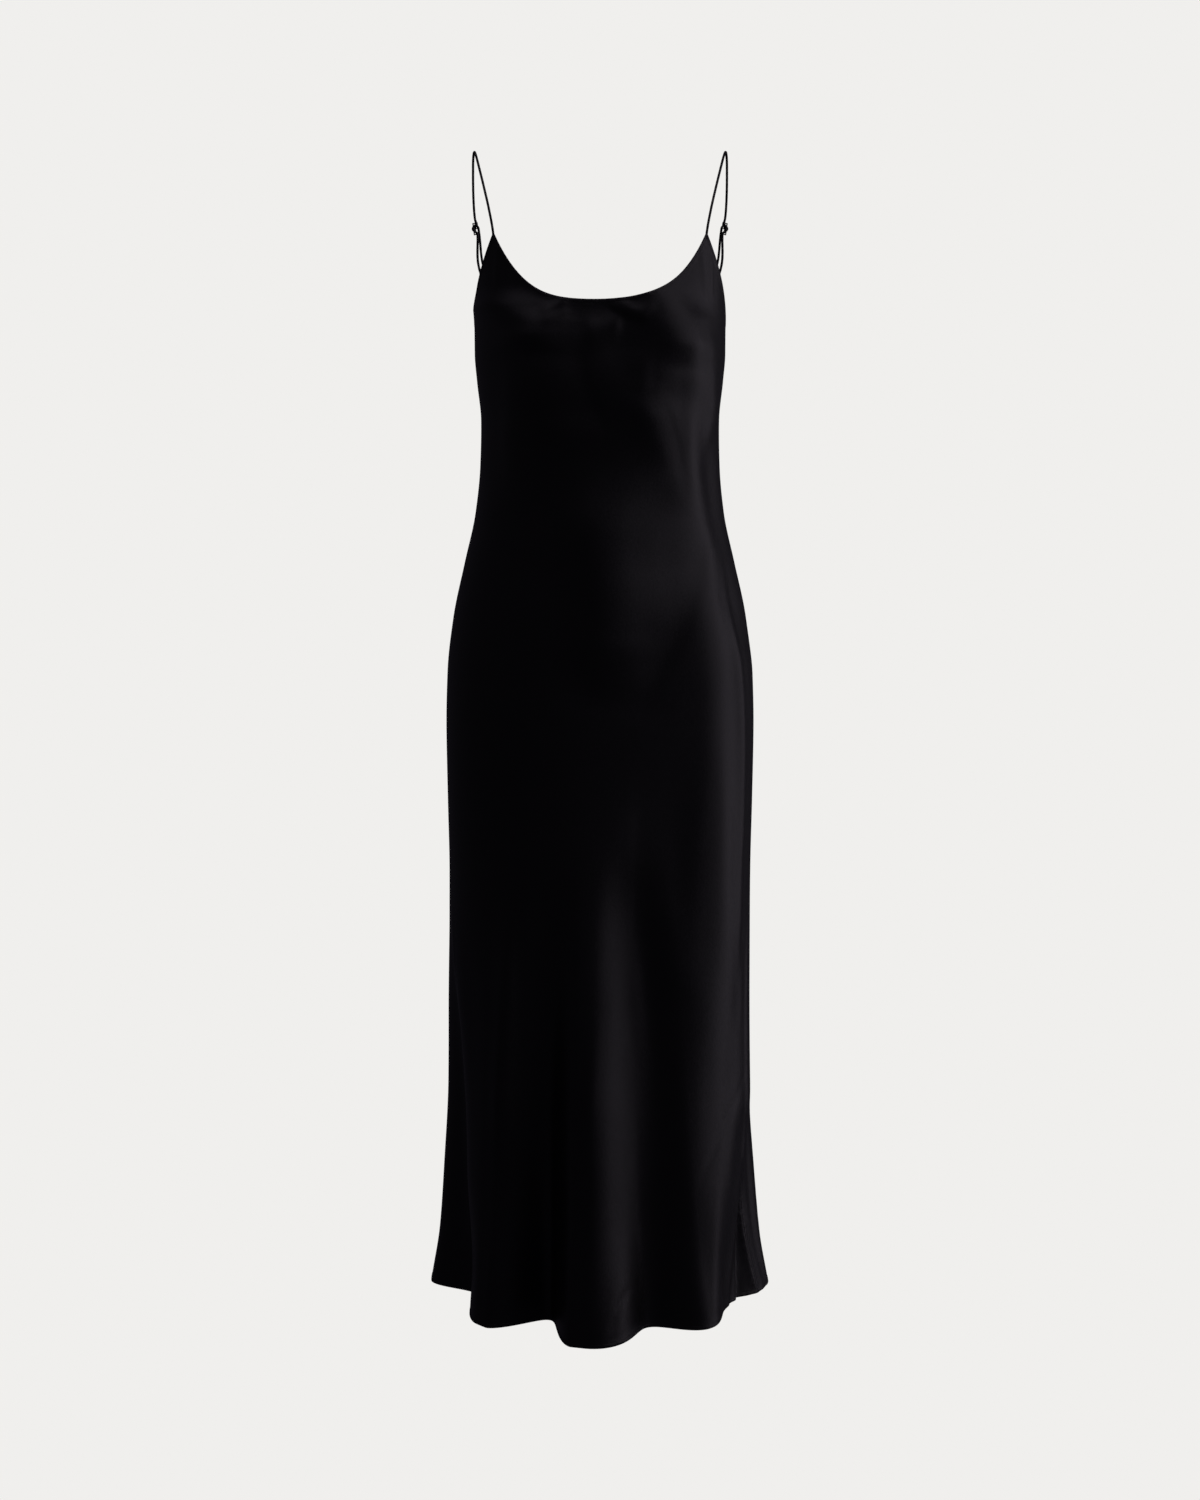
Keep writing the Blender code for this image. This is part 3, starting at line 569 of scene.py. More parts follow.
def finish_piece(piece, name, slot, finish, *nodes):
    """Names a piece, gives it its finish and ties it to the frame."""
    piece.name = name
    piece.data.name = name
    piece.data.materials.clear()
    piece.data.materials.append(FINISHES[finish])
    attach(piece, "root")
    if nodes:
        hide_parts(*nodes)
    return piece


def grid_piece(columns, rows):
    """A flat grid of faces, and where each of its points lies in it: column, then row."""
    grid = new_primitive(
        bpy.ops.mesh.primitive_grid_add, x_subdivisions=columns, y_subdivisions=rows, size=1)
    flat = np.zeros(len(grid.data.vertices) * 3)
    grid.data.vertices.foreach_get("co", flat)
    place = flat.reshape(-1, 3)[:, :2] + 0.5
    return grid, np.rint(place[:, 0] * columns).astype(int), np.rint(place[:, 1] * rows).astype(int)


def shape_grid(grid, spots, uv):
    """Moves a grid's points to their spots and lays it out flat."""
    mesh = grid.data
    mesh.vertices.foreach_set("co", np.ascontiguousarray(spots).ravel())
    loops = np.zeros(len(mesh.loops), dtype=np.int32)
    mesh.loops.foreach_get("vertex_index", loops)
    mesh.uv_layers.active.data.foreach_set("uv", np.ascontiguousarray(uv[loops]).ravel())
    mesh.update()


def mark_sewn(piece, shares):
    """Marks how near to sewing each point of a piece lies, from 0 to 1."""
    piece.data.attributes.new("sewn", "FLOAT", "POINT").data.foreach_set("value", shares)


def edit_whole(piece, *steps):
    """Runs each step of editing, with its settings, on a whole piece."""
    select_only(piece)
    bpy.ops.object.mode_set(mode="EDIT")
    for step, settings in steps:
        bpy.ops.mesh.select_all(action="SELECT")
        step(**settings)
    bpy.ops.object.mode_set(mode="OBJECT")


def turn_outwards(piece):
    edit_whole(piece, (bpy.ops.mesh.normals_make_consistent, {"inside": False}))


def tidy_tube(piece):
    """Closes a tube along its length and at its ends, and turns its faces outwards."""
    edit_whole(piece, (bpy.ops.mesh.remove_doubles, {"threshold": MERGE_REACH}),
               (bpy.ops.mesh.fill_holes, {"sides": 0}))
    turn_outwards(piece)
    bpy.ops.object.shade_smooth()


def column_shares():
    """Where the columns of a panel's cloth lie from seam to seam, closer together at the seams."""
    near = np.array(SEAM_SHARES)
    middle = np.linspace(near[-1], 1 - near[-1], CLOTH_COLUMNS + 1 - 2 * (len(near) - 1))
    return np.concatenate([near[:-1], middle, 1 - near[-2::-1]])


def panel_place(share, rise, face):
    """Angle and level on a panel: share runs from seam to seam, and rise from hem to top edge."""
    start, end = seam_angles(np.full_like(share, UNDERARM_Z), face)
    top = top_level(start + share * (end - start), face)
    skirt = HEM_Z + (SKIRT_Z - HEM_Z) * rise / SKIRT_SHARE
    body = SKIRT_Z + (FULL_RING_Z - SKIRT_Z) * (rise - SKIRT_SHARE) / (BODY_SHARE - SKIRT_SHARE)
    shoulder = FULL_RING_Z + (top - FULL_RING_Z) * (rise - BODY_SHARE) / (1 - BODY_SHARE)
    z = np.where(rise < SKIRT_SHARE, skirt, np.where(rise < BODY_SHARE, body, shoulder))
    start, end = seam_angles(z, face)
    return start + share * (end - start), z


def add_cloth(name, face, node):
    """A panel's cloth: a fine sheet on the panel's form, drawn in along its seams, with a thin wall."""
    cloth, column, row = grid_piece(CLOTH_COLUMNS, CLOTH_ROWS)
    share, rise = column_shares()[column], row / CLOTH_ROWS
    angle, z = panel_place(share, rise, face)
    spots = cloth_spots(angle, z)
    start, end = seam_angles(z, face)
    from_seam = np.radians(np.minimum(angle - start, end - angle)) * np.hypot(spots[:, 0], spots[:, 1])
    spots -= cloth_outward(angle, z) * (SEAM_SINK * np.exp(-((from_seam / SEAM_SPREAD) ** 2)))[:, None]
    shape_grid(cloth, spots, cloth_uv(angle, z, face))
    from_edge = np.minimum(np.minimum(from_seam, z - HEM_Z), top_level(angle, face) - z)
    mark_sewn(cloth, smooth_step(1 - from_edge / SEWN_REACH))
    if cloth.data.polygons[0].normal.dot(cloth.data.polygons[0].center.xyz * Vector((1, 1, 0))) < 0:
        cloth.data.flip_normals()
    select_only(cloth)
    bpy.ops.object.shade_smooth()
    wall = cloth.modifiers.new("wall", "SOLIDIFY")
    wall.thickness = CLOTH_THICKNESS
    wall.offset = -1
    apply_modifiers(cloth)
    return finish_piece(cloth, name, "satin", "black_satin", node)


# Lines that sewing follows: angles and levels, how far along the line each lies, its headings, and the
# sense in which the panel lies beside it
Line = namedtuple("Line", "angle z along heading sense face")


def cloth_line(angle, z, sense, face):
    spots = cloth_spots(angle, z)
    return Line(angle, z, lengths_along(spots), unit(np.gradient(spots, axis=0)), sense, face)


def edge_lines(face):
    """The stretches of a panel's top edge: armhole, neck scoop, armhole."""
    start, end = (float(a) for a in seam_angles(np.array(UNDERARM_Z), face))
    corners = (start, *strap_points(face), end)
    stretches = (np.linspace(low, high, LINE_SPOTS) for low, high in zip(corners, corners[1:]))
    return [cloth_line(angle, top_level(angle, face), 1, face) for angle in stretches]


def hem_line(face):
    start, end = (float(a) for a in seam_angles(np.array(HEM_Z), face))
    angle = np.linspace(start, end, 2 * LINE_SPOTS)
    return cloth_line(angle, np.full_like(angle, HEM_Z), -1, face)


def seam_line(side):
    z = np.linspace(HEM_Z + SEAM_ENDS, UNDERARM_Z - SEAM_ENDS, LINE_SPOTS)
    return cloth_line(level_value(SEAMS, z, side), z, 1 if side == "left_side" else -1, "front")


def line_place(line, along):
    """The angles and levels at these distances along a line."""
    return np.interp(along, line.along, line.angle), np.interp(along, line.along, line.z)


def beside(line, along, into, out):
    """Places at these distances along a line, this far into the panel and out of its face."""
    angle, z = line_place(line, along)
    heading = np.stack([np.interp(along, line.along, line.heading[:, k]) for k in range(3)], axis=-1)
    across = np.cross(cloth_outward(angle, z), heading) * line.sense
    angle, z = along_cloth(angle, z, across * np.broadcast_to(into, along.shape)[:, None])
    spots = cloth_spots(angle, z) + cloth_outward(angle, z) * np.broadcast_to(out, along.shape)[:, None]
    return spots, cloth_uv(angle, z, line.face)


def mitre_slant(before, after):
    """How far along an edge a mitre runs for each metre into the panel."""
    turn = math.acos(np.clip(before.heading[-1].dot(after.heading[0]), -1, 1))
    return 1 / math.tan((math.pi - turn) / 2)


def add_strip(name, lines, section, pitch):
    """A sewn strip: a closed section that follows lines end to end, mitred where they meet."""
    slants = [0.0] + [mitre_slant(a, b) for a, b in zip(lines, lines[1:])] + [0.0]
    counts = [max(int(line.along[-1] / pitch), LEAST_FACES) for line in lines]
    strip, column, row = grid_piece(sum(counts), len(section))
    spots = np.zeros((sum(counts) + 1, len(section) + 1, 3))
    uv = np.zeros((sum(counts) + 1, len(section) + 1, 2))
    for j, corner in enumerate(section + section[:1]):
        first = 0
        for i, (line, count) in enumerate(zip(lines, counts)):
            length = line.along[-1]
            along = np.linspace(0, length, count + 1)
            into = max(corner.into, 0)
            moved = along + slants[i] * into * np.clip(1 - along / MITRE_REACH, 0, 1)
            moved -= slants[i + 1] * into * np.clip(1 - (length - along) / MITRE_REACH, 0, 1)
            places, flat = beside(line, moved, corner.into, corner.out)
            if first:
                places[0] = spots[first, j] = (spots[first, j] + places[0]) / 2
            spots[first:first + count + 1, j] = places
            uv[first:first + count + 1, j] = flat
            first += count
    shape_grid(strip, spots[column, row], uv[column, row])
    mark_sewn(strip, np.ones(len(strip.data.vertices)))
    tidy_tube(strip)
    return finish_piece(strip, name, "satin", "black_satin")


def new_stitch():
    """One stitch: a short thread with narrow ends that dive into the cloth, along X."""
    stitch = new_primitive(
        bpy.ops.mesh.primitive_cylinder_add, vertices=6, radius=STITCH_RADIUS,
        depth=STITCH_LENGTH * STITCH_STRAIGHT, end_fill_type="NGON", rotation=(0, math.pi / 2, 0))
    bpy.ops.object.transform_apply(location=True, rotation=True, scale=True)
    reach, dive = STITCH_LENGTH * (1 - STITCH_STRAIGHT) / 2, -STITCH_RADIUS * STITCH_DIVE
    for side in (1, -1):
        edit_faces(stitch, lambda face: face.normal.x * side > NEARLY_ALONG)
        bpy.ops.mesh.extrude_region_move(TRANSFORM_OT_translate={"value": (side * reach, 0, dive)})
        bpy.ops.transform.resize(value=(1, STITCH_TAPER, STITCH_TAPER), center_override=(0, 0, dive))
        bpy.ops.object.mode_set(mode="OBJECT")
    bpy.ops.object.shade_smooth()
    return stitch


def stitch_row(stitch, line, into, start=STITCH_START, stop=None, out=STITCH_OUT, pitch=STITCH_PITCH):
    """A row of stitches along a line, each a copy of one stitch."""
    stop = line.along[-1] - start if stop is None else stop
    count = max(int((stop - start) / pitch), 1)
    along = np.linspace(start, stop, count + 1)
    ends = [beside(line, along + step, into, out)[0] for step in (-STITCH_PROBE, STITCH_PROBE)]
    middle = (ends[0] + ends[1]) / 2
    ahead = unit(ends[1] - ends[0])
    across = unit(np.cross(cloth_outward(*line_place(line, along)), ahead))
    copies = []
    for spot, x, y, up in zip(middle, ahead, across, np.cross(ahead, across)):
        copy = stitch.copy()
        copy.data = stitch.data.copy()
        turn = Matrix((x, y, up)).transposed().to_4x4()
        copy.data.transform(Matrix.Translation(Vector(spot)) @ turn)
        bpy.context.scene.collection.objects.link(copy)
        copies.append(copy)
    return copies


def join_stitches(name, copies):
    select_only(*copies)
    bpy.ops.object.join()
    return finish_piece(copies[0], name, "cord", "thread")


def bar_tack(stitch, angle, z, face):
    """The short block of thread that holds a strap or tab to its point."""
    levels = np.linspace(z - TACK_BELOW, z - TACK_BELOW - 2 * TACK_HEIGHT, TACK_SPOTS)
    line = cloth_line(np.full_like(levels, angle), levels, 1, face)
    copies = []
    for share in np.linspace(-1, 1, TACK_STITCHES):
        start = STITCH_LENGTH / 2 + TACK_SHIFT * (share > 0)
        into, stop = share * TACK_WIDTH / 2, start + TACK_HEIGHT
        copies += stitch_row(stitch, line, into, start, stop, TACK_OUT, TACK_HEIGHT)
    return copies


# ----------------------------------------
# Straps, tabs and their metal pieces

# How many spots a route has from point to point, and how many points lead a strap past the slider's bars
ROUTE_SPOTS = 14
WEAVE_POINTS = 9
# A rouleau's uneven rings, as a rise over its radius and a rate along it, with where they start on each side
# and on a tab, and the groove of its seam
ROULEAU_RINGS = ((0.020, 900), (0.012, 2330))
RINGS_SINK = 0.02
RINGS_START = {"left": 0.0, "right": 1.7}
TAB_RINGS_START = 0.6
GROOVE_DEPTH = 0.10
GROOVE_WIDTH = 0.6
# The width of the strip it is cut from, and where that lies on the flat cloth
ROULEAU_CUT = 0.02
ROULEAU_ROOM = 0.1
# The ring's closed joint: where it lies, how wide it is and how much thinner the wire is there
JOINT_TURN = 0.4
JOINT_WIDTH = 0.00022
JOINT_PINCH = 0.10


def smooth_route(points):
    """A smooth curve through the points, finely sampled."""
    padded = [2 * points[0] - points[1], *points, 2 * points[-1] - points[-2]]
    route = []
    for before, start, end, after in zip(padded, padded[1:], padded[2:], padded[3:]):
        length = (end - start).length
        enter = (end - before) * (length / ((end - start).length + (start - before).length))
        leave = (after - start) * (length / ((after - end).length + (end - start).length))
        for step in range(ROUTE_SPOTS):
            u = step / ROUTE_SPOTS
            spot = start * ((1 + 2 * u) * (1 - u) ** 2) + enter * (u * (1 - u) ** 2)
            spot += end * (u * u * (3 - 2 * u)) - leave * (u * u * (1 - u))
            route.append(spot)
    route.append(points[-1])
    return route


def hardware_frame(spot, ahead, outward):
    """Axes at a strap's metal piece: x across the strap, y down along it, z out of the cloth."""
    down = Vector(ahead).normalized()
    out = Vector(outward)
    out = (out - down * out.dot(down)).normalized()
    turn = Matrix((down.cross(out), down, out)).transposed().to_4x4()
    return Matrix.Translation(Vector(spot)) @ turn


def point_inside(angle, z, depth):
    """A place behind a panel, this deep inside the cloth's outer face."""
    return Vector(cloth_spots(angle, z)) - Vector(cloth_outward(angle, z)) * depth


def tab_depths():
    """How deep the tab's two legs lie inside the cloth's outer face, one behind the other."""
    near = WALL + PIECE_GAP + TAB_RADIUS
    return near, near + 2 * TAB_RADIUS + PIECE_GAP


def strap_end_line():
    """The foot of the strap's lower run, between the tab's legs, and the direction the run comes down."""
    back = TOP_EDGES["back"]
    foot = point_inside(back.left_point, back.point_z, sum(tab_depths()) / 2)
    return foot, (foot - Vector(RUN_MIDDLE)).normalized()


def slider_place():
    return hardware_frame(SLIDER_SPOT, Vector(RUN_MIDDLE) - Vector(SLIDER_SPOT), METAL_OUTWARD)


def ring_place():
    foot, down = strap_end_line()
    return hardware_frame(foot - down * RING_RISE, down, METAL_OUTWARD)


def run_place():
    """The middle of the doubled run between slider and ring."""
    down = ring_place().translation - Vector(SLIDER_SPOT)
    return hardware_frame(RUN_MIDDLE, down, METAL_OUTWARD)


def passing(slider, step):
    """A place on a strand as it passes the slider, or another such frame."""
    along = step.pitches * SLIDER_PITCH
    return slider @ Vector((step.spreads * STRAND_SPREAD, along, step.weaves * SLIDER_WEAVE))


def half_turns():
    return np.linspace(0, math.pi, HALF_TURN_STEPS)


def strap_route():
    """The left strap: out from behind the front point, over the shoulder, through the slider, round the
    ring and back up to its end, which wraps the slider's middle bar."""
    tuck_depth = EDGE_DEPTH + PIECE_GAP + STRAP_RADIUS
    point_z = TOP_EDGES["front"].point_z
    route = [point_inside(TUCK_ANGLE, z, tuck_depth) for z in (point_z - TUCK, point_z)]
    route += [Vector(spot) for spot in STRAP_RUN]
    slider = slider_place()
    route.append(passing(slider, SLIDER_ENTRY))
    for bar in np.linspace(-1, 1, WEAVE_POINTS):
        route.append(passing(slider, Pass(1, bar, math.cos(math.pi * bar))))
    route.append(passing(run_place(), RUN_DOWN))
    ring = ring_place()
    hook = RING_WIRE + PIECE_GAP + STRAP_RADIUS
    half_spread = STRAND_SPREAD / 2
    approach = -RING_RADIUS - RING_APPROACH * hook
    route.append(ring @ Vector((half_spread, approach, hook)))
    for turn in half_turns():
        under = -RING_RADIUS + hook * math.sin(turn)
        route.append(ring @ Vector((half_spread * math.cos(turn), under, hook * math.cos(turn))))
    route.append(ring @ Vector((-half_spread, approach, -hook)))
    route.append(passing(run_place(), RUN_UP))
    route.append(passing(slider, WRAP_ENTRY))
    wrap = SLIDER_BAR / 2 + PIECE_GAP + STRAP_RADIUS + CORD_SLACK
    for turn in half_turns():
        route.append(slider @ Vector((-STRAND_SPREAD, -wrap * math.sin(turn), -wrap * math.cos(turn))))
    route.append(passing(slider, STRAP_END))
    return route


def tab_route():
    """The left ring's tab: up from inside the back point, through the ring and back down behind itself."""
    ring = ring_place()
    hook = RING_WIRE + PIECE_GAP + TAB_RADIUS
    leg_spread = TAB_RADIUS + PIECE_GAP / 2
    low = RING_RADIUS + RING_APPROACH * hook
    loop = [ring @ Vector((0, low, leg_spread))]
    for turn in half_turns():
        loop.append(ring @ Vector((0, RING_RADIUS - hook * math.sin(turn), hook * math.cos(turn))))
    loop.append(ring @ Vector((0, low, -leg_spread)))
    near, far = (depth - (WALL - EDGE_DEPTH) for depth in tab_depths())
    back = TOP_EDGES["back"]
    low_z = back.point_z - TUCK
    legs = [point_inside(back.left_point, z, depth) for z, depth in (
        (low_z, near), (back.point_z, near), (back.point_z, far), (low_z, far))]
    return legs[:2] + loop + legs[2:]


def even_route(route, step):
    """The same route with its spots at even distances."""
    spots = np.array([tuple(spot) for spot in route])
    along = lengths_along(spots)
    even = np.linspace(0, along[-1], int(along[-1] / step) + 1)
    return np.stack([np.interp(even, along, spots[:, k]) for k in range(3)], axis=-1), even


def carried_across(ahead):
    """Directions across a route, carried along it without a twist."""
    up = np.array([0.0, 0.0, 1.0]) if abs(ahead[0][2]) < NEARLY_ALONG else np.array([1.0, 0.0, 0.0])
    ups = []
    for heading in ahead:
        up = up - heading * up.dot(heading)
        up = up / np.linalg.norm(up)
        ups.append(up)
    return np.array(ups)


def add_rouleau(name, route, radius, node, side, rings_start):
    """A rouleau: a round tube of bias satin along a route, with slight rings and the groove of its seam."""
    spots, along = even_route(smooth_route(route), TUBE_STEP)
    if side == "right":
        spots = spots * np.array([-1, 1, 1])
    ahead = unit(np.gradient(spots, axis=0))
    ups = carried_across(ahead)
    others = np.cross(ahead, ups)
    tube, column, row = grid_piece(len(spots) - 1, TUBE_SIDES)
    roll = 2 * np.pi * row / TUBE_SIDES
    rings = sum(rise * np.sin(along[column] * rate + (i + 1) * rings_start)
                for i, (rise, rate) in enumerate(ROULEAU_RINGS))
    groove = GROOVE_DEPTH * np.exp(-((np.minimum(row, TUBE_SIDES - row) / GROOVE_WIDTH) ** 2))
    reach = radius * (1 - RINGS_SINK + rings - groove)
    around = ups[column] * np.cos(roll)[:, None] + others[column] * np.sin(roll)[:, None]
    uv = np.stack([row / TUBE_SIDES * ROULEAU_CUT, along[column]], axis=-1) + ROULEAU_ROOM
    shape_grid(tube, spots[column] + around * reach[:, None], uv)
    tidy_tube(tube)
    return finish_piece(tube, name, "cord", "rouleau", node)


def between_bars(face):
    """Whether a face of the slider lies in one of its two openings."""
    along = abs(abs(face.center.y) - SLIDER_PITCH / 2) < SLIDER_BAR
    return along and abs(face.center.x) < SLIDER_BAR / 2


def add_slider(name, node, side):
    """A flat frame of three bars between two sides, with rounded edges."""
    half_bar, half_width = SLIDER_BAR / 2, SLIDER_WIDTH / 2
    across = np.array([-half_width, -half_width + SLIDER_BAR, half_width - SLIDER_BAR, half_width])
    along = np.array([bar * SLIDER_PITCH + edge for bar in (-1, 0, 1) for edge in (-half_bar, half_bar)])
    slider, column, row = grid_piece(3, 5)
    spots = np.stack([across[column], along[row], np.full(len(column), -half_bar)], axis=-1)
    slider.data.vertices.foreach_set("co", spots.ravel())
    slider.data.update()
    select_only(slider)
    edit_faces(slider, between_bars)
    bpy.ops.mesh.delete(type="FACE")
    bpy.ops.mesh.select_all(action="SELECT")
    bpy.ops.mesh.extrude_region_move(TRANSFORM_OT_translate={"value": (0, 0, SLIDER_BAR)})
    bpy.ops.mesh.select_all(action="SELECT")
    bpy.ops.mesh.normals_make_consistent(inside=False)
    bpy.ops.object.mode_set(mode="OBJECT")
    edge = slider.modifiers.new("edge", "BEVEL")
    edge.width = SLIDER_ROUNDING
    edge.segments = 4
    edge.limit_method = "ANGLE"
    apply_modifiers(slider)
    slider.data.transform(side_mirror(side) @ slider_place())
    turn_outwards(slider)
    bpy.ops.object.shade_smooth_by_angle(angle=math.radians(35))
    return finish_piece(slider, name, "hardware", "coated_metal", node)


def add_ring(name, node, side):
    """A round wire ring with the faint flat of its closed joint."""
    ring = new_primitive(
        bpy.ops.mesh.primitive_torus_add, major_radius=RING_RADIUS, minor_radius=RING_WIRE,
        major_segments=64, minor_segments=16)
    for vertex in ring.data.vertices:
        turn = math.atan2(vertex.co.y, vertex.co.x)
        middle = Vector((math.cos(turn), math.sin(turn), 0)) * RING_RADIUS
        pinch = 1 - JOINT_PINCH * math.exp(-(((turn - JOINT_TURN) * RING_RADIUS / JOINT_WIDTH) ** 2))
        vertex.co = middle + (vertex.co - middle) * pinch
    ring.data.transform(side_mirror(side) @ ring_place())
    turn_outwards(ring)
    bpy.ops.object.shade_smooth()
    return finish_piece(ring, name, "hardware", "coated_metal", node)


def side_mirror(side):
    """The wearer's left pieces are modelled; the right ones are their mirror image."""
    return Matrix.Diagonal((1 if side == "left" else -1, 1, 1, 1))


# ----------------------------------------
# Finishes

FINISHES = {}
GRAIN_RELIEF = 1.6


def new_group(name, inputs, outputs):
    """A shader node group; its inputs are given with their values, or None for a place."""
    made = bpy.data.node_groups.new(name, "ShaderNodeTree")
    for socket, value in inputs.items():
        kind = "NodeSocketVector" if value is None else "NodeSocketFloat"
        made.interface.new_socket(socket, in_out="INPUT", socket_type=kind)
        if value is not None:
            made.interface.items_tree[socket].default_value = value
    for socket in outputs:
        made.interface.new_socket(socket, in_out="OUTPUT", socket_type="NodeSocketFloat")
    return made, made.nodes.new("NodeGroupInput").outputs, made.nodes.new("NodeGroupOutput").inputs


def is_socket(value):
    return isinstance(value, bpy.types.NodeSocket)


def fill_socket(socket, value):
    """Gives a socket its value, or links it to another one."""
    if is_socket(value):
        socket.id_data.links.new(value, socket)
    else:
        socket.default_value = value


def add_node(tree, kind, **inputs):
    """A shader node with the inputs named here, each a value or another node's socket."""
    node = tree.nodes.new("ShaderNode" + kind)
    for name, value in inputs.items():
        fill_socket(node.inputs[name], value)
    return node


def worked_out(operation, first, second):
    """What a Math node makes of two sockets, or of a socket and a number."""
    node = add_node((first if is_socket(first) else second).id_data, "Math")
    node.operation = operation
    fill_socket(node.inputs[0], first)
    fill_socket(node.inputs[1], second)
    return node.outputs[0]


def plus(first, second):
    return worked_out("ADD", first, second)


def minus(first, second):
    return worked_out("SUBTRACT", first, second)


def times(first, second):
    return worked_out("MULTIPLY", first, second)


def scaled_place(place, size, turn=0.0, shift=(0.0, 0.0, 0.0)):
    node = add_node(
        place.id_data, "Mapping", Vector=place, Scale=size, Rotation=(0, 0, turn), Location=shift)
    return node.outputs["Vector"]


def noise(place, scale, detail, roughness=0.5):
    node = add_node(place.id_data, "TexNoise", Vector=place, Scale=scale, Detail=detail, Roughness=roughness)
    return node.outputs["Fac"]


def bands(place, scale, distortion):
    node = add_node(place.id_data, "TexWave", Vector=place, Scale=scale, Distortion=distortion, Detail=1.0)
    return node.outputs["Fac"]


# Satin on the bias: fine twill lines at half a right angle, slubs along both threads, and soft cloudy tone
BIAS_SATIN, given, result = new_group(
    "bias_satin", {"Vector": None, "Slubs": 0.6, "Twill": 0.25, "Cloud": 0.3}, ("Height", "Grain", "Tone"))
place = given["Vector"]
on_bias = scaled_place(place, (1, 1, 1), math.radians(45))
twill = bands(on_bias, 780, 0.6)
warp_slubs = noise(scaled_place(on_bias, (1, 0.22, 1)), 900, 3)
weft_slubs = noise(scaled_place(on_bias, (0.22, 1, 1)), 700, 3)
grain = noise(place, 330, 5, 0.7)
cloud = noise(place, 34, 3)
slubs = times(plus(warp_slubs, weft_slubs), 0.5)
threads = plus(times(slubs, given["Slubs"]), times(twill, given["Twill"]))
fill_socket(result["Height"], plus(threads, times(grain, GRAIN_RELIEF)))
fill_socket(result["Grain"], times(plus(grain, slubs), 0.5))
fill_socket(result["Tone"], times(cloud, given["Cloud"]))

# Handling: puckers and rubbing beside sewn lines
SEWN_HANDLING, given, result = new_group(
    "sewn_handling", {"Vector": None, "Sewn": 0.0}, ("Height", "Rubbed"))
ripples = noise(scaled_place(given["Vector"], (0.6, 1, 1)), 150, 2)
fill_socket(result["Height"], times(ripples, worked_out("POWER", given["Sewn"], 1.4)))
rubbing = noise(given["Vector"], 240, 3)
fill_socket(result["Rubbed"], times(worked_out("POWER", given["Sewn"], 6.0), rubbing))

# Worn coating: small pits, and thin places where the metal shows through
WORN_COATING, given, result = new_group("worn_coating", {"Vector": None, "Wear": 0.5}, ("Height", "Bare"))
fill_socket(result["Height"], noise(given["Vector"], 2600, 3))
patches = noise(given["Vector"], 620, 5, 0.7)
thinned = times(minus(patches, minus(0.86, times(given["Wear"], 0.3))), 9.0)
fill_socket(result["Bare"], worked_out("MINIMUM", worked_out("MAXIMUM", thinned, 0.0), 1.0))


def use_group(group, place, **values):
    """What a node group puts out at a place, with these values."""
    node = add_node(place.id_data, "Group")
    node.node_tree = group
    for name, value in {"Vector": place, **values}.items():
        fill_socket(node.inputs[name], value)
    return node.outputs


def flat_place(tree):
    """The place on the flat cloth, in metres."""
    return scaled_place(add_node(tree, "UVMap").outputs["UV"], (1, UV_LENGTH, 1), shift=(-UV_ROOM, 0, 0))


def object_place(tree):
    return add_node(tree, "TexCoord").outputs["Object"]


def blend_colours(share, low, high):
    node = add_node(share.id_data, "Mix")
    node.data_type = "RGBA"
    fill_socket(node.inputs["Factor"], share)
    fill_socket(node.inputs["A"], (*low, 1))
    fill_socket(node.inputs["B"], (*high, 1))
    return node.outputs["Result"]


def ranged(value, low, high):
    """A mask from 0 to 1, brought between two values."""
    return plus(times(value, high - low), low)


def bump(height, distance, **under):
    """Relief of this height, over the relief given as Normal, if any."""
    node = add_node(height.id_data, "Bump", Strength=1.0, Distance=distance, Height=height, **under)
    return node.outputs["Normal"]


def new_material(name):
    """A material kept under its name in FINISHES, and its node tree."""
    made = bpy.data.materials.new(name)
    made.use_nodes = True
    FINISHES[name] = made
    return made.node_tree


def set_shader(tree, **inputs):
    """Gives the surface its looks; an underscore stands for a space in a socket's name."""
    shader = tree.nodes["Principled BSDF"]
    for name, value in inputs.items():
        fill_socket(shader.inputs[name.replace("_", " ")], value)


# The panels' satin: nearly black, a little lighter where it is rubbed beside its seams
tree = new_material("black_satin")
place = flat_place(tree)
weave = use_group(BIAS_SATIN, place, Slubs=0.7, Twill=0.12, Cloud=0.5)
sewn = add_node(tree, "Attribute")
sewn.attribute_name = "sewn"
handling = use_group(SEWN_HANDLING, place, Sewn=sewn.outputs["Fac"])
tone = plus(weave["Tone"], handling["Rubbed"])
set_shader(
    tree, Base_Color=blend_colours(tone, (0.0030, 0.0027, 0.0034), (0.0085, 0.0074, 0.0090)),
    Roughness=ranged(weave["Grain"], 0.32, 0.58),
    Normal=bump(weave["Height"], 0.00009, Normal=bump(handling["Height"], 0.0011)))

# The same satin, turned into the narrow tubes of the straps and tabs
tree = new_material("rouleau")
weave = use_group(BIAS_SATIN, flat_place(tree), Slubs=0.8, Twill=0.3, Cloud=0.6)
set_shader(
    tree, Base_Color=blend_colours(weave["Tone"], (0.0034, 0.0030, 0.0038), (0.0110, 0.0098, 0.0112)),
    Roughness=ranged(weave["Grain"], 0.36, 0.56), Normal=bump(weave["Height"], 0.00006))

# Sewing thread, twisted and slightly fluffy
tree = new_material("thread")
place = object_place(tree)
twist = bands(scaled_place(place, (1, 1, 1), math.radians(35)), 900, 1.0)
fluff = noise(place, 1900, 3)
set_shader(
    tree, Base_Color=blend_colours(fluff, (0.0050, 0.0045, 0.0052), (0.0170, 0.0155, 0.0170)),
    Roughness=ranged(fluff, 0.42, 0.62), Normal=bump(twist, 0.00005))

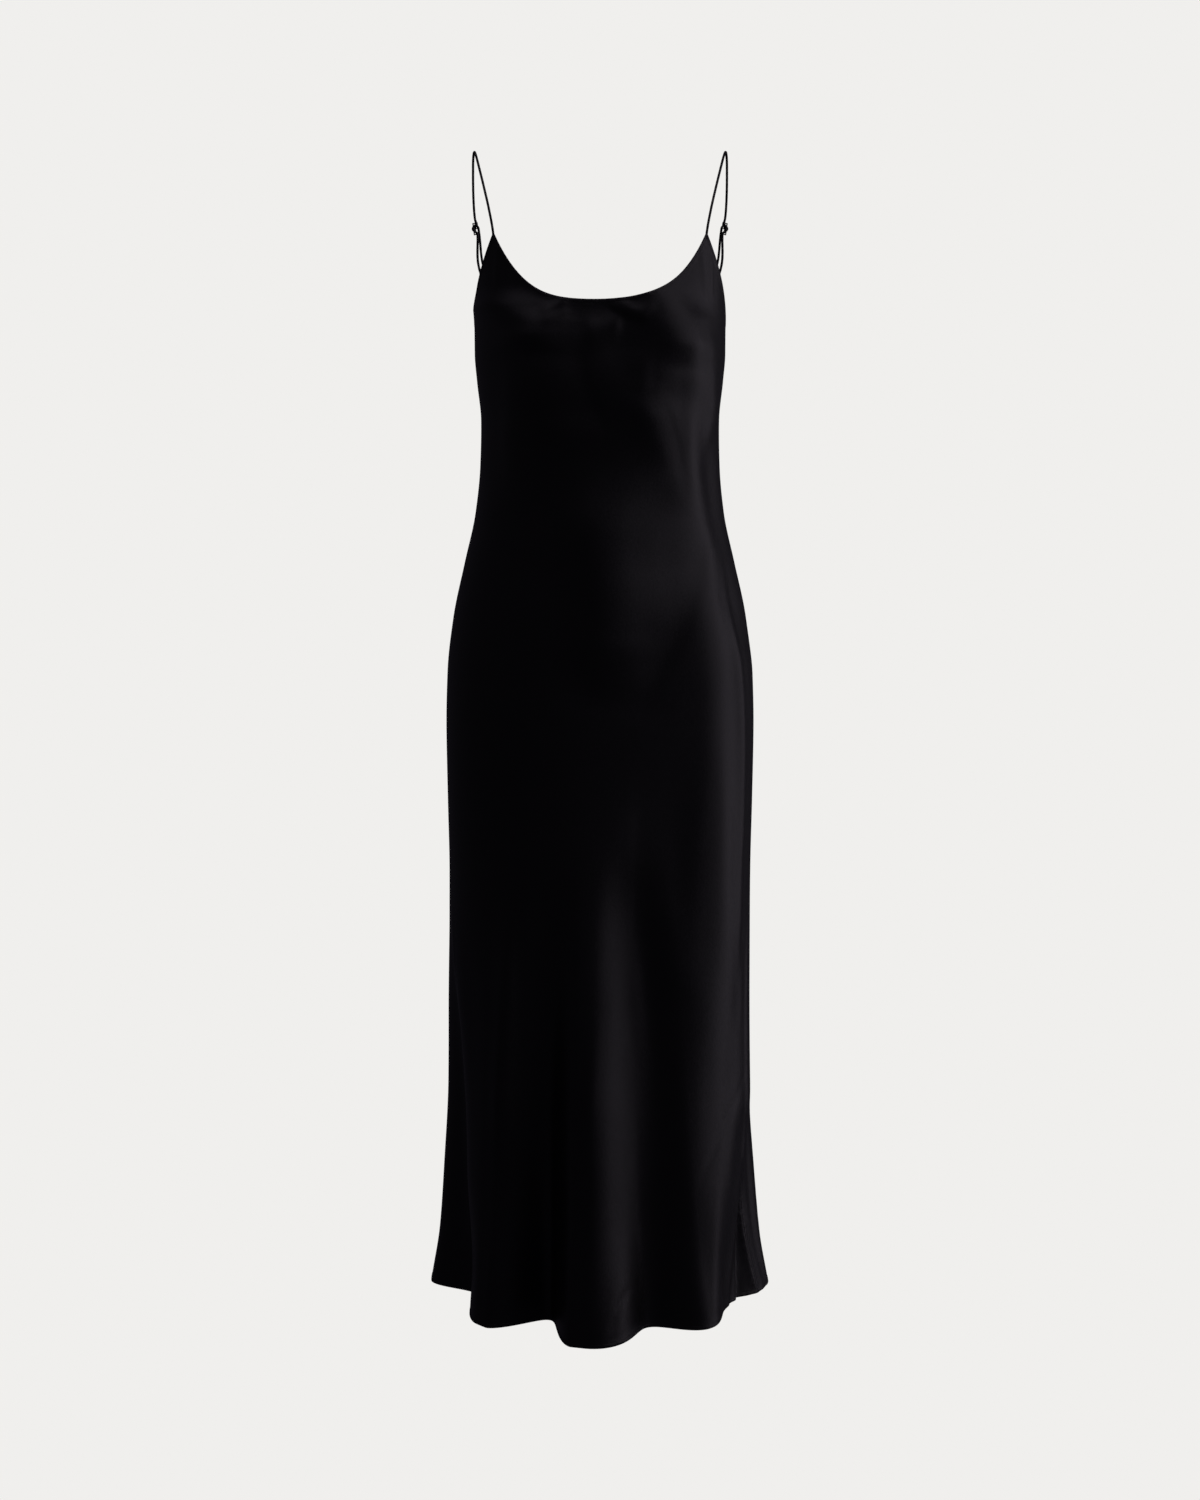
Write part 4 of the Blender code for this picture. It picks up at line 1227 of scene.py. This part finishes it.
# Black coated metal, worn thin in places
tree = new_material("coated_metal")
coating = use_group(WORN_COATING, object_place(tree), Wear=0.55)
set_shader(
    tree, Base_Color=blend_colours(coating["Bare"], (0.0060, 0.0056, 0.0064), (0.10, 0.095, 0.10)),
    Metallic=ranged(coating["Bare"], 0.0, 0.9), Roughness=ranged(coating["Height"], 0.20, 0.42),
    Normal=bump(coating["Height"], 0.00004))

# ----------------------------------------
# The dress

# The cut before it was hung: the box that holds each panel laid flat, and its area
Cut = namedtuple("Cut", "width length area")

stitch = new_stitch()
for face in ("front", "back"):
    cloth = add_cloth(face + "_cloth", face, face + "_panel")
    top_lines, hem = edge_lines(face), hem_line(face)
    trims = [
        add_strip(face + "_top_edge", top_lines, TURNED_EDGE, EDGE_PITCH),
        add_strip(face + "_hem", [hem], NARROW_HEM, HEM_PITCH),
    ]
    copies = []
    for line in top_lines:
        copies += stitch_row(stitch, line, EDGE_STITCH_INTO, EDGE_STITCH_START)
    trims.append(join_stitches(face + "_edge_stitches", copies))
    trims.append(join_stitches(face + "_hem_stitches", stitch_row(stitch, hem, HEM_STITCH_INTO)))
    copies = []
    for angle in strap_points(face):
        copies += bar_tack(stitch, angle, TOP_EDGES[face].point_z, face)
    trims.append(join_stitches(face + "_bar_tacks", copies))
    if face == "back":
        for side in ("left", "right"):
            line = seam_line(side + "_side")
            trims.append(add_strip(side + "_seam_allowance", [line], FRENCH_SEAM, SEAM_PITCH))
bpy.data.objects.remove(stitch)

for side, start in RINGS_START.items():
    add_rouleau(side + "_strap", strap_route(), STRAP_RADIUS, "strap_" + side, side, start)
    tab_start = start + TAB_RINGS_START
    add_rouleau(side + "_ring_tab", tab_route(), TAB_RADIUS, "tab_" + side, side, tab_start)
    add_slider(side + "_strap_slider", "slider_" + side, side)
    add_ring(side + "_strap_ring", "ring_" + side, side)

# ----------------------------------------
# Studio

BACKDROP = (0.8714, 0.8632, 0.8469)
ROOM = (0.0225, 0.0205, 0.0275)
FLOOR_Z = -1.42
FLOOR_RADIUS = 9
CAMERA_SPOT = (0, -2.3, -0.4032)
CAMERA_TILT = 83.94


def add_light(name, spot, aim, size, power, colour):
    data = bpy.data.lights.new(name, "AREA")
    data.shape = "RECTANGLE"
    data.size, data.size_y = size
    data.energy = power
    data.color = colour
    light = bpy.data.objects.new(name, data)
    light.location = spot
    light.rotation_euler = (Vector(aim) - Vector(spot)).to_track_quat("-Z", "Y").to_euler()
    bpy.context.scene.collection.objects.link(light)


add_light("key", (2.28, 0.30, -0.56), (0, 0, -0.65), (1.36, 2.46), 5.59, (1.0, 0.905, 1.05))
add_light("high", (1.15, -0.64, 0.71), (0, 0, -0.35), (1.35, 3.79), 5.81, (1.0, 0.905, 1.05))
add_light("fill", (-1.16, -0.05, -0.26), (0, 0, -0.6), (1.82, 1.22), 0.06, (1.0, 0.90, 1.0))
add_light("top", (-0.36, -0.53, 0.85), (0, 0, -0.2), (1.09, 0.87), 0.58, (1.0, 0.90, 1.07))

# The camera sees the backdrop, and the cloth a dim room
world = bpy.data.worlds.new("studio")
world.use_nodes = True
bpy.context.scene.world = world
tree = world.node_tree
seen = add_node(tree, "LightPath").outputs["Is Camera Ray"]
fill_socket(tree.nodes["Background"].inputs["Color"], blend_colours(seen, ROOM, BACKDROP))

floor = new_primitive(
    bpy.ops.mesh.primitive_circle_add, vertices=96, radius=FLOOR_RADIUS, fill_type="NGON",
    location=(0, 0, FLOOR_Z))
floor.name = "studio_floor"
set_shader(new_material("studio_floor"), Base_Color=(0, 0, 0, 1), Specular_IOR_Level=0,
           Emission_Color=(*BACKDROP, 1), Emission_Strength=1.0)
floor.data.materials.append(FINISHES["studio_floor"])
floor.visible_diffuse = False
floor.visible_glossy = False

camera = bpy.data.objects.new("camera", bpy.data.cameras.new("camera"))
camera.location = CAMERA_SPOT
camera.rotation_euler = (math.radians(CAMERA_TILT), 0, 0)
camera.data.lens = 50
camera.data.sensor_width = 36
bpy.context.scene.collection.objects.link(camera)
bpy.context.scene.camera = camera
bpy.context.scene.view_settings.view_transform = "Standard"
